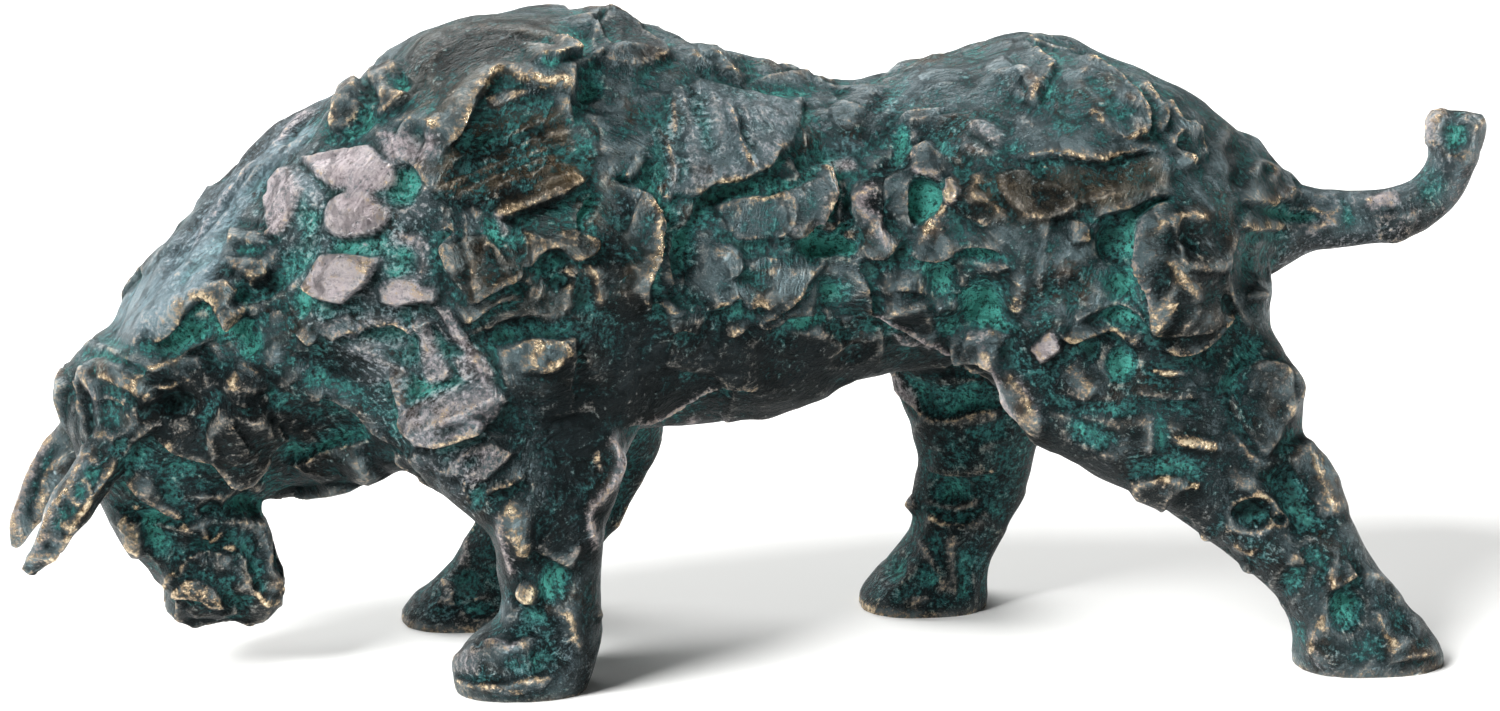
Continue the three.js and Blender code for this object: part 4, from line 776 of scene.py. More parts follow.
def modelBack(m):
    m.crest([(681, 57), (695, 63), (712, 62), (724, 71), (738, 79), (748, 87)], rise=1.1, wide=1.5, gold=0.9)
    m.crest([(688, 44), (706, 50), (731, 57), (752, 62)], rise=0.8, wide=1.4, gold=0.6)
    m.groove([(724, 66), (750, 70), (761, 82), (782, 91), (804, 91), (826, 86)], deep=1.1, wide=1.8, green=0.6)
    m.crest([(816, 80), (828, 74), (838, 80)], rise=0.9, wide=1.4, gold=0.8)
    m.slab([(672, 92), (700, 82), (760, 92), (806, 96), (800, 128), (790, 150), (770, 170), (752, 178), (716, 186),
           (692, 196),
            (674, 192), (664, 150)], rise=0.9, edge=0.6, green=0.32)
    m.comb([(672, 92), (806, 96), (790, 150), (752, 178), (674, 192)], turn=-80, pitch=3.0, deep=0.35)
    m.lip([(672, 193), (695, 196), (715, 185), (738, 183), (755, 177), (768, 171), (777, 155), (792, 147)],
          rise=1.5, fade=8, under=1.4, reach=4, gold=0.95, green=0.6)
    m.lip([(652, 190), (664, 200), (674, 203)], rise=1.0, fade=5, under=0.8, gold=1.0)
    m.crest([(722, 99), (731, 118), (738, 146), (747, 164), (753, 178)], rise=0.9, wide=0.9, gold=0.85)
    m.groove([(728, 100), (737, 118), (744, 146), (752, 162)], deep=0.5, wide=0.9, green=0.2, dark=0.4)
    m.crest([(656, 118), (662, 136), (670, 162), (674, 186)], rise=0.6, wide=0.9, gold=0.5)
    m.crest([(668, 100), (674, 120), (676, 140)], rise=0.6, wide=0.9, gold=0.5)
    m.groove([(683, 84), (690, 102), (695, 122)], deep=0.8, wide=1.0, green=0.1, dark=0.7)
    m.groove([(652, 140), (660, 160), (664, 184)], deep=0.7, wide=1.2, green=0.6)
    m.groove([(803, 98), (806, 112), (796, 130), (788, 142)], deep=0.8, wide=1.5, green=0.6)
    # leaf shaped slabs of the flank
    m.slab([(717, 205), (745, 197), (768, 196), (786, 189), (796, 206), (780, 236), (760, 240), (738, 238),
           (725, 224)],
           rise=1.0, green=0.45, rim=0.5)
    m.lip([(713, 213), (718, 204), (745, 198), (768, 196), (786, 188), (796, 180)], high="down", rise=0.7, fade=4,
          under=0.6,
          gold=0.75, green=0.6)
    m.crest([(715, 212), (726, 225), (738, 237), (762, 238)], rise=0.8, wide=1.2, gold=0.8)
    m.lip([(812, 163), (827, 166), (829, 182), (822, 203), (813, 221), (800, 236), (781, 244)], high="left", rise=2.0,
          fade=8, under=1.5, reach=4, gold=0.6, green=0.9)
    m.crest([(812, 163), (827, 166), (829, 182), (822, 203), (813, 221), (800, 236)], rise=0.4, wide=0.9, gold=0.3,
            pale=0.9)
    m.slab([(789, 180), (812, 165), (826, 172), (818, 205), (798, 235), (776, 240), (790, 210)], rise=0.7, green=0.4,
           pale=0.25)
    m.groove([(836, 186), (832, 205), (826, 222)], deep=1.6, wide=1.6, green=0.5, dark=0.6)
    m.crest([(842, 176), (840, 196), (834, 220)], rise=0.9, wide=1.2, gold=0.1, pale=0.5)
    m.groove([(848, 196), (848, 214), (852, 228)], deep=1.2, wide=1.5, green=0.5, dark=0.5)
    m.slab([(826, 160), (852, 156), (858, 170), (832, 176)], rise=0.9, pale=0.7)
    m.lip([(814, 228), (828, 230), (842, 222), (852, 224)], rise=1.0, fade=3, under=1.2, gold=0.2, green=1.0)
    m.press((828, 247), (33, 13), turn=4, rise=-1.5, green=1.3)
    m.press((850, 248), (11, 12), rise=-0.9, green=1.3)
    m.lip([(706, 249), (720, 244), (733, 247), (743, 259), (740, 270), (724, 280)], high="left", rise=0.9, fade=4,
          under=0.7, gold=0.8, green=0.3)
    m.lip([(743, 262), (756, 257), (770, 257), (784, 262)], high="down", rise=0.6, fade=3, under=0.6, gold=0.7)
    m.lip([(705, 311), (727, 308), (738, 300), (750, 310), (760, 305), (772, 314)], rise=1.0, fade=5, under=0.8,
          gold=0.85)
    m.lip([(759, 327), (777, 315), (800, 296), (808, 282), (824, 266)], rise=1.1, fade=6, under=0.8, gold=0.85,
          green=0.2)
    m.lip([(724, 338), (742, 332), (754, 326), (768, 331), (790, 322)], rise=0.8, fade=4, under=0.7, gold=0.8)
    m.lip([(646, 312), (660, 306), (676, 316), (690, 310)], rise=0.7, fade=4, under=0.5, gold=0.7)
    m.lip([(672, 336), (684, 332), (700, 338)], rise=0.7, fade=4, under=0.5, gold=0.7)
    m.press((838, 290), (22, 20), rise=-0.9, green=0.75)
    m.lip([(850, 267), (864, 280), (874, 302), (872, 318)], high="left", rise=1.0, fade=6, under=0.8, gold=0.8)
    m.press((806, 322), (22, 8), turn=8, rise=-1.2, green=1.3)
    m.press((836, 336), (20, 8), turn=-20, rise=-0.5, green=0.3, dark=0.6)
    m.press((735, 255), (50, 22), turn=10, rise=0.4, blue=0.15)
    m.tone((715, 355), (70, 40), dark=0.75)
    m.tone((640, 330), (26, 60), dark=0.6)
    m.tone((690, 372), (20, 9), green=0.5)
    # edge of the belly
    m.lip([(618, 430), (648, 415), (684, 401), (709, 387), (731, 382), (768, 386)], rise=1.5, fade=7, under=1.4,
          reach=5,
          gold=0.1, green=0.8)
    m.crest([(618, 430), (648, 415), (684, 401), (709, 387), (731, 382)], rise=0.4, wide=1.0, gold=0.0, pale=0.9)
    m.lip([(712, 409), (731, 417), (770, 411), (815, 400), (840, 385)], rise=1.2, fade=5, under=0.6, gold=0.0,
          green=0.3)
    m.crest([(712, 409), (731, 417), (770, 411), (815, 400)], rise=0.4, wide=1.0, gold=0.0, pale=0.9)
    m.crest([(640, 441), (668, 432), (690, 424), (704, 412)], rise=0.7, wide=1.2, gold=0.0, pale=0.8)
    m.press((855, 355), (26, 10), turn=18, rise=-1.1, dark=1.0)


def modelHaunch(m):
    m.comb([(866, 110), (915, 66), (940, 62), (930, 90), (890, 128)], turn=38, pitch=2.0, deep=0.35, blue=0.4)
    m.tone((892, 96), (30, 7), turn=40, green=0.75)
    m.tone((872, 153), (12, 5), turn=38, green=0.9)
    m.tone((946, 155), (7, 14), turn=28, green=0.85)
    m.tone((1060, 130), (13, 12), green=0.75)
    m.tone((1020, 148), (14, 5), turn=-20, green=0.7)
    m.tone((988, 156), (20, 5), turn=10, green=0.6)
    m.tone((842, 150), (26, 18), turn=30, blue=0.55)
    m.groove([(850, 136), (868, 116), (884, 100), (902, 84)], deep=0.6, wide=1.4, dark=0.4, green=0.2)
    # winding ridge before the haunch
    m.crest([(862, 172), (868, 190), (866, 205), (876, 222), (886, 241), (890, 258)], rise=2.2, wide=3.0, gold=0.4,
            pale=0.8)
    m.groove([(914, 128), (906, 152), (884, 166), (875, 182), (877, 203), (890, 226), (900, 244)], deep=2.0, wide=2.2,
             green=0.4, dark=0.8)
    m.crest([(914, 128), (912, 150), (908, 164)], rise=0.8, wide=1.1, gold=0.1, pale=0.7)
    m.press((900, 140), (9, 18), turn=-14, rise=-0.8, green=0.95)
    m.lip([(892, 121), (906, 113), (930, 108), (946, 104)], high="down", rise=0.5, fade=4, under=0.9, gold=0.2,
          green=0.2)
    m.press((922, 203), (20, 25), rise=-1.9, flat=0.6, rim=0.5, green=0.95)
    m.lip([(906, 170), (926, 175), (944, 181), (954, 188)], rise=0.9, fade=4, under=1.0, gold=0.2, green=0.3)
    m.crest([(906, 169), (926, 174), (944, 180)], rise=0.5, wide=1.2, gold=0.0, pale=1.0)
    m.crest([(944, 176), (950, 192), (944, 212), (930, 228), (916, 240), (912, 228)], rise=1.5, wide=2.2, gold=1.0,
            pale=0.4)
    # a painted highlight on the rim of the dish
    m.press((951, 190), (11, 14), rise=1.3, gold=1.0, pale=0.8)
    m.slab([(950, 180), (984, 172), (976, 190), (998, 206), (1010, 218), (986, 226), (958, 214), (948, 200)],
           rise=0.8,
           rim=0.6, dark=0.3)
    m.crest([(986, 174), (974, 190), (997, 206), (1010, 217)], rise=0.7, wide=1.6, gold=0.8)
    m.slab([(892, 128), (914, 120), (958, 112), (968, 140), (962, 168), (944, 176), (912, 166)], rise=0.7, dark=0.2,
           blue=0.15)
    m.lip([(900, 248), (916, 258), (940, 262), (958, 252), (980, 248), (1002, 256)], rise=1.1, fade=8, under=1.3,
          reach=5,
          gold=0.2, green=1.0)
    m.press((900, 290), (30, 28), turn=-20, rise=0.9, dark=0.3)
    m.lip([(891, 283), (914, 287), (932, 300), (938, 316)], rise=0.6, fade=5, under=0.5, gold=0.8)
    m.groove([(938, 262), (942, 290), (948, 318), (958, 340)], deep=1.7, wide=3.0, green=1.1)
    m.press((980, 300), (26, 28), turn=20, rise=-1.5, green=1.0)
    m.lip([(964, 330), (978, 331), (990, 329), (1010, 336)], high="down", rise=1.2, fade=6, under=1.0, gold=0.7,
          green=0.9)
    m.crest([(966, 330), (980, 332), (996, 330)], rise=0.4, wide=1.1, gold=0.2, pale=0.9)
    m.lip([(948, 256), (980, 262), (1004, 262), (1014, 270)], high="down", rise=0.8, fade=3, under=0.6, gold=0.1,
          green=0.9)
    m.crest([(1014, 268), (1020, 286), (1018, 300), (1026, 312)], rise=0.9, wide=1.8, gold=0.6)
    # rump
    m.slab([(983, 66), (1000, 56), (1043, 86), (1037, 106), (1020, 100)], rise=0.8, blue=0.3)
    m.lip([(1026, 46), (1048, 57), (1057, 66), (1044, 86), (1037, 103), (1026, 106)], high="left", rise=1.1, fade=6,
          under=0.8, gold=0.85)
    m.lip([(1026, 43), (1056, 49), (1083, 51)], rise=0.9, fade=5, under=0.8, gold=0.6)
    m.slab([(966, 128), (990, 118), (1002, 136), (996, 156), (970, 160)], rise=0.5, pale=0.4, sharp=False)
    m.comb([(955, 80), (1040, 60), (1040, 150), (965, 160)], turn=-25, pitch=2.4, deep=0.4)
    m.lip([(1071, 51), (1094, 58), (1111, 71), (1126, 84), (1137, 97), (1147, 117), (1146, 134), (1129, 143),
          (1117, 138)],
          high="left", rise=1.3, fade=6, under=1.0, gold=0.95, green=0.2)
    m.crest([(1083, 108), (1098, 119), (1108, 130), (1118, 138), (1130, 143), (1146, 134)], rise=0.8, wide=1.1,
            gold=1.0)
    m.crest([(1074, 66), (1092, 80), (1110, 96), (1128, 112)], rise=0.7, wide=1.1, gold=0.6)
    m.groove([(1080, 74), (1098, 90), (1116, 106), (1134, 124)], deep=0.9, wide=1.5, green=0.5)
    m.lip([(1138, 78), (1154, 96), (1166, 117), (1163, 131), (1149, 135)], high="left", rise=1.0, fade=4, under=0.9,
          gold=0.75, green=0.3)
    m.lip([(1169, 99), (1177, 112), (1184, 122), (1197, 123)], high="left", rise=0.9, fade=4, under=0.8, gold=0.85)
    m.lip([(1182, 127), (1174, 148), (1190, 157), (1196, 170)], high="left", rise=0.8, fade=4, under=0.7, gold=0.9)
    m.lip([(1197, 123), (1203, 142), (1211, 156)], high="left", rise=0.8, fade=4, under=0.7, gold=0.6)
    m.groove([(1170, 80), (1186, 98), (1204, 118), (1222, 144)], deep=0.8, wide=1.5, green=0.3, dark=0.3)
    m.groove([(1150, 72), (1170, 92), (1190, 112)], deep=0.7, wide=1.3, green=0.4)
    m.groove([(1186, 84), (1206, 106), (1226, 134)], deep=0.7, wide=1.3, dark=0.3, green=0.2)
    m.comb([(1060, 60), (1130, 60), (1215, 110), (1240, 160), (1180, 160), (1120, 130), (1050, 100)], turn=-42,
           pitch=3.0,
           deep=0.5, green=0.2)
    m.lip([(1012, 160), (1036, 157), (1060, 158), (1080, 162), (1100, 163), (1118, 157), (1140, 153), (1160, 156)],
          rise=1.4, fade=7, under=1.3, reach=6, gold=0.85, green=0.2)
    m.tone((1040, 168), (36, 11), turn=-10, gold=0.7)
    m.tone((972, 182), (16, 12), turn=-20, gold=0.7)
    m.slab([(994, 176), (1023, 168), (1070, 192), (1084, 214), (1060, 216), (1020, 222), (1004, 204)], rise=0.7,
           dark=0.35)
    m.lip([(1068, 219), (1080, 221), (1089, 228), (1091, 244)], high="left", rise=1.2, fade=6, under=0.9, gold=0.85)
    m.lip([(1091, 221), (1112, 214), (1130, 209), (1150, 200), (1175, 195)], rise=1.2, fade=7, under=1.3, reach=6,
          gold=0.4, green=0.8)
    m.press((1112, 243), (16, 22), rise=-1.6, green=0.5, dark=0.5)
    m.press((1060, 270), (34, 24), turn=20, rise=0.7, blue=0.2)
    m.press((1120, 300), (26, 44), turn=10, rise=-1.0, green=0.9)
    m.comb([(1060, 250), (1130, 250), (1150, 330), (1070, 335)], turn=-30, pitch=2.6, deep=0.35)
    # round bulge over the thigh
    m.lip([(1174, 197), (1152, 206), (1138, 222), (1134, 246), (1142, 272), (1153, 298), (1152, 332), (1158, 350)],
          high="right", rise=2.1, fade=9, under=1.4, reach=5, gold=0.5, green=0.9)
    m.crest([(1152, 206), (1137, 224), (1134, 248), (1142, 272), (1152, 298), (1152, 330)], rise=0.4, wide=1.3,
            gold=0.3,
            pale=0.8)
    m.lip([(1157, 349), (1180, 355), (1203, 347), (1223, 330), (1238, 311)], rise=1.7, fade=8, under=1.3, gold=0.9,
          green=0.4)
    m.crest([(1151, 231), (1169, 223), (1186, 213), (1203, 216), (1208, 228)], rise=1.0, wide=1.6, gold=0.95)
    m.crest([(1142, 251), (1162, 257), (1180, 276), (1204, 292)], rise=0.9, wide=2.4, gold=0.75)
    m.crest([(1176, 292), (1168, 308), (1158, 324), (1156, 338)], rise=0.8, wide=1.6, gold=0.9)
    m.tone((1222, 322), (12, 20), turn=-35, gold=0.8)
    m.press((1184, 246), (20, 18), rise=-0.7, dark=0.5)
    m.press((1196, 320), (22, 18), rise=0.5, dark=0.5)
    # flank flap and the folds of the thigh
    m.lip([(860, 314), (887, 320), (912, 333), (943, 347), (965, 360), (1002, 373)], rise=1.5, fade=8, under=1.6,
          reach=5,
          gold=0.0, green=0.2)
    m.crest([(860, 314), (887, 320), (912, 333), (943, 347), (965, 360)], rise=0.5, wide=1.4, gold=0.0, pale=1.0)
    m.crest([(880, 330), (912, 346), (940, 358)], rise=0.7, wide=1.4, gold=0.0, pale=0.6)
    m.press((1012, 392), (56, 15), turn=-57, rise=1.6, flat=0.7, dark=0.2)
    m.crest([(1008, 362), (1024, 384), (1036, 410), (1038, 432)], rise=1.0, wide=2.6, gold=0.85, pale=0.5)
    m.crest([(977, 334), (992, 366), (1008, 397), (1030, 427)], rise=0.5, wide=1.2, gold=0.0, pale=0.9)
    m.slab([(1031, 347), (1051, 331), (1062, 349), (1040, 361)], rise=1.3, pale=1.0)
    m.lip([(1056, 334), (1071, 343), (1094, 337), (1112, 331), (1129, 343), (1144, 352)], rise=1.3, fade=8, under=1.3,
          reach=5, gold=0.9, green=0.5)
    m.press((1122, 364), (18, 20), rise=-1.5, green=0.9)
    m.press((1090, 352), (12, 12), rise=-0.8, dark=0.4)
    m.crest([(1063, 360), (1078, 376), (1090, 390), (1097, 398)], rise=1.0, wide=2.6, gold=0.6)
    m.press((1168, 372), (20, 6), turn=-10, rise=1.0, gold=1.0)
    m.groove([(1040, 396), (1062, 404), (1084, 409), (1115, 411), (1144, 400)], deep=1.4, wide=1.8, green=0.7,
             dark=0.2)
    m.lip([(1130, 396), (1158, 398), (1180, 402), (1200, 396)], rise=0.6, fade=4, under=0.5, gold=0.5)
    m.press((1090, 432), (36, 18), turn=-28, rise=-1.0, green=0.8)
    m.crest([(1146, 412), (1150, 436), (1150, 462)], rise=0.7, wide=2.2, gold=0.0)
    m.press((1160, 430), (12, 26), rise=-0.6, green=0.9)
    m.lip([(1126, 479), (1148, 475), (1164, 472), (1180, 472), (1194, 487)], high="down", rise=1.7, fade=9, under=1.0,
          gold=0.6, green=0.9)
    m.press((1190, 482), (13, 8), turn=-40, rise=0.6, gold=0.95)
    m.press((1196, 444), (26, 9), turn=-8, rise=0.7, gold=0.7)
    m.crest([(1222, 428), (1237, 445), (1252, 459), (1264, 468)], rise=0.8, wide=1.3, gold=0.75)
    m.slab([(1237, 374), (1260, 362), (1286, 365), (1293, 400), (1276, 440), (1262, 456), (1240, 430), (1228, 405)],
           rise=1.1, sharp=False, dark=0.3)
    m.crest([(1280, 375), (1292, 370), (1302, 386), (1294, 404), (1284, 424)], rise=0.8, wide=1.5, gold=0.6, pale=0.3)
    m.groove([(1258, 330), (1246, 352), (1238, 374), (1226, 402)], deep=1.4, wide=2.4, green=0.7, dark=0.3)
    m.tone((1245, 415), (10, 10), gold=0.5)


def modelHindLegs(m):
    m.press((1254, 515), (24, 17), turn=12, rise=-1.5, flat=0.8, rim=0.4, rimGold=0.8, dark=0.4, brown=0.6)
    m.press((1280, 520), (8, 7), rise=-0.7, rim=0.3, rimGold=0.8)
    m.crest([(1230, 542), (1244, 549), (1258, 554)], rise=0.8, wide=1.4, gold=0.8)
    m.crest([(1288, 440), (1311, 463), (1326, 500), (1334, 524)], rise=2.2, wide=4.0, gold=0.6, pale=0.2)
    m.tone((1316, 470), (9, 20), turn=-62, gold=0.9)
    m.groove([(1266, 462), (1285, 492), (1303, 521), (1314, 540)], deep=2.2, wide=3.2, green=0.5, dark=0.8)
    m.press((1240, 480), (22, 12), turn=-40, rise=0.6, dark=0.4)
    m.press((1222, 520), (12, 22), turn=-40, rise=-0.6, blue=0.3, green=0.4)
    m.lip([(1326, 590), (1341, 587), (1352, 580), (1361, 574)], rise=1.1, fade=6, under=1.0, gold=0.9, green=0.5)
    m.crest([(1324, 570), (1330, 582), (1328, 596)], rise=0.8, wide=1.4, gold=0.6, pale=0.5)
    m.press((1346, 612), (20, 24), turn=-20, rise=-1.5, green=0.95)
    m.crest([(1371, 609), (1382, 627), (1390, 643), (1398, 658)], rise=1.2, wide=2.4, gold=0.85)
    m.crest([(1328, 612), (1313, 640), (1322, 663), (1335, 676)], rise=1.1, wide=2.4, gold=0.8, pale=0.4)
    m.lip([(1384, 668), (1408, 661), (1431, 657), (1443, 649)], rise=0.6, fade=4, under=0.3, gold=0.8, green=0.3)
    m.crest([(1358, 574), (1374, 577), (1388, 586), (1402, 610)], rise=0.9, wide=1.8, gold=0.4)
    m.press((1410, 630), (14, 30), turn=-40, rise=0.5, dark=0.5)
    m.groove([(1300, 548), (1316, 556), (1330, 566)], deep=1.0, wide=2.0, green=0.8)
    m.press((1292, 580), (14, 26), turn=-35, rise=-0.9, green=0.6, blue=0.2)
    m.press((1298, 560), (11, 12), rise=0.9)
    m.tone((1364, 650), (18, 22), green=0.8)
    m.tone((1300, 640), (12, 24), green=0.5)
    for place, spot in enumerate([(1186, 520), (1206, 536), (1222, 552), (1244, 568), (1262, 584), (1278, 604)]):
        m.press(spot, (9, 6), turn=-38, rise=0.9 if place % 2 else -0.7, green=0.6)
    # far hind leg
    far = {"layer": "far"}
    m.lip([(915, 408), (935, 417), (954, 417), (972, 410), (1004, 405)], high="down", rise=0.9, fade=6, under=1.3,
          gold=0.75, green=0.3, **far)
    m.groove([(966, 440), (984, 433), (1008, 426)], deep=1.4, wide=2.0, green=0.9, **far)
    m.groove([(900, 380), (926, 396), (956, 400), (990, 392)], deep=1.4, wide=2.4, green=0.4, dark=0.8, **far)
    m.slab([(880, 361), (895, 365), (914, 390), (921, 417), (905, 402), (890, 386)], rise=1.0, pale=0.6, **far)
    m.lip([(924, 470), (950, 476), (980, 474), (1004, 470)], high="up", rise=0.6, fade=5, under=0.8, gold=0.2,
          green=0.5, **far)
    m.press((953, 492), (28, 15), rise=-1.6, green=0.7, dark=0.4, **far)
    m.lip([(925, 511), (943, 519), (960, 523), (976, 516), (986, 505)], high="down", rise=0.9, fade=6, under=0.9,
          gold=0.9,
          green=0.2, **far)
    m.crest([(918, 466), (914, 490), (916, 512)], rise=0.8, wide=1.3, gold=0.1, pale=0.4, **far)
    m.press((912, 505), (8, 12), rise=1.2, dark=0.3, **far)
    m.crest([(915, 534), (928, 556), (940, 582), (937, 600)], rise=0.9, wide=1.6, gold=0.3, **far)
    m.crest([(955, 528), (951, 556), (955, 604)], rise=0.9, wide=2.0, gold=0.1, **far)
    m.groove([(966, 540), (962, 570), (966, 604)], deep=1.0, wide=2.0, green=0.6, dark=0.3, **far)
    m.press((895, 570), (14, 16), turn=-20, rise=-0.8, green=1.1, **far)
    m.press((928, 575), (14, 14), rise=-0.6, green=1.0, **far)
    m.press((918, 602), (20, 8), turn=12, rise=0.6, dark=0.4, **far)
    m.tone((880, 590), (24, 16), green=0.5, blue=0.3, **far)
    m.tone((975, 560), (16, 50), green=0.3, blue=0.3, **far)


def modelTail(m):
    m.groove([(1222, 138), (1232, 147), (1241, 166), (1238, 190)], deep=1.6, wide=2.0, green=0.5, dark=0.5)
    m.lip([(1235, 199), (1258, 206), (1268, 208), (1277, 202), (1296, 203)], rise=1.2, fade=6, under=1.3, gold=0.95,
          green=0.4)
    m.lip([(1235, 226), (1260, 231), (1278, 229), (1288, 224)], rise=1.2, fade=5, under=0.8, gold=0.9, green=0.6)
    m.crest([(1278, 190), (1303, 192), (1318, 196), (1332, 201)], rise=0.8, wide=1.2, gold=0.8)
    m.crest([(1308, 204), (1318, 210), (1334, 212), (1338, 202)], rise=0.7, wide=1.1, gold=0.9, pale=0.5)
    m.crest([(1303, 232), (1316, 225), (1328, 221), (1341, 227)], rise=0.8, wide=1.4, gold=0.5, pale=0.7)
    m.crest([(1248, 180), (1254, 167), (1265, 164), (1272, 172), (1262, 186)], rise=0.8, wide=1.3, gold=0.4)
    m.press((1290, 215), (34, 8), turn=-4, rise=-1.0, green=0.9)
    m.press((1262, 262), (16, 20), rise=-1.0, green=0.4, dark=0.5)
    m.press((1254, 294), (9, 7), turn=40, rise=1.3, dark=0.5)
    m.tone((1346, 222), (18, 14), green=0.9)
    m.slab([(1364, 200), (1380, 194), (1400, 192), (1396, 206), (1372, 211)], rise=0.6, pale=0.9, rim=0.5)
    m.slab([(1370, 213), (1400, 212), (1420, 206), (1412, 232), (1396, 241), (1378, 238)], rise=0.6, dark=0.6)
    m.tone((1432, 185), (18, 26), turn=10, green=0.95)
    m.groove([(1342, 186), (1346, 206), (1352, 232)], deep=0.7, wide=1.3, green=0.5)
    m.press((1456, 133), (17, 22), turn=-8, rise=-1.7, flat=0.6, green=1.1)
    m.slab([(1423, 122), (1431, 111), (1446, 107), (1443, 122), (1436, 147), (1422, 144)], rise=0.8, pale=0.6,
           blue=0.3,
           rim=0.8)
    m.crest([(1472, 131), (1480, 122), (1485, 119)], rise=0.8, wide=1.2, gold=0.7)
    m.press((1470, 160), (9, 14), turn=-30, rise=0.6, dark=0.3)
    m.crest([(1452, 158), (1464, 154), (1470, 158)], rise=0.5, wide=1.1, gold=0.7)


# The general modelling. Lengths are in millimetres, and a share is what is left of a kind of modelling
# on the side that the photograph shows, where the marks above take its place
relief = {
    # size of the cells, lean, step, width of the edge, how far the surface may move, share and seed
    "slabs": (19.0, 0.10, 0.42, 1.0, 1.6, 0.75, 61),
    "pats": (10.0, 0.11, 0.2, 0.7, 0.8, 0.4, 71),
    "crumbs": (4.5, 0.08, 0.05, 0.6, 0.25, 0.4, 81),
    "ridges": ((21.0, 0.8, 0.2, 111), (9.5, 0.3, 0.0, 131)),  # worn ridges: size, height, share and seed
    "lumps": (24.0, 0.8, 0.5),  # size, height and share
    "strokes": (9.0, 1.5, 0.13),  # length, width and height
    "warp": (16.0, 3.2),  # the cells are bent: size of the waves, and how far
    "markHeight": 1.35,
    "markRoom": (-4.2, 4.0),
    "wobble": (5.0, 1.8),  # drawn lines waver: size of the waves, and how far in pixels
    "soleClear": (0.6, 4.5),  # heights between which the relief grows from nothing
    "calmest": 0.85,  # what calm planes take away
    "thinnest": 0.55,  # what thin horns and the tail take away
}

# Where parts of the bull are, in millimetres: from where they start to where they are whole
places = {
    "hornAlong": (-122, -130),
    "hornUp": (56, 50),
    "tailAlong": (106, 114),
    "tailUp": (70, 76),
    "farLeg": {"behind": 7, "under": 52},
    "farHorn": {"behind": 5, "under": 56, "before": -124},
}

# How far a point stands out from the surface smoothed for some rounds: the rounds, and the height that
# fills the mask
formMasks = {"edge": (4, 0.17), "crease": (16, -0.45), "hollow": (70, -1.1)}

# Masks as they are stored on the piece, three to an attribute
storedMasks = {
    "wearAndSheen": ("edge", "gold", "pale"),
    "patinaAndReflection": ("hollow", "green", "blue"),
    "shade": ("dark", "crease", "brown"),
}

# The side that isn't shown has the same patina, spread by chance
hiddenPatina = {"size": 20.0, "seed": 141, "gold": 0.7, "green": 0.8}


# The CAD bull without its facets, and with its thin parts as full as they were
def evenedBull(skin):
    even = skin.evened(skin.points, surface["evening"])
    lost = np.sum((skin.points - even) * skin.normals(even), axis=1)
    even = even + skin.normals(even) * skin.evened(lost, surface["restoring"])[:, None]
    even[:, 2] = np.maximum(even[:, 2], 0)
    return even


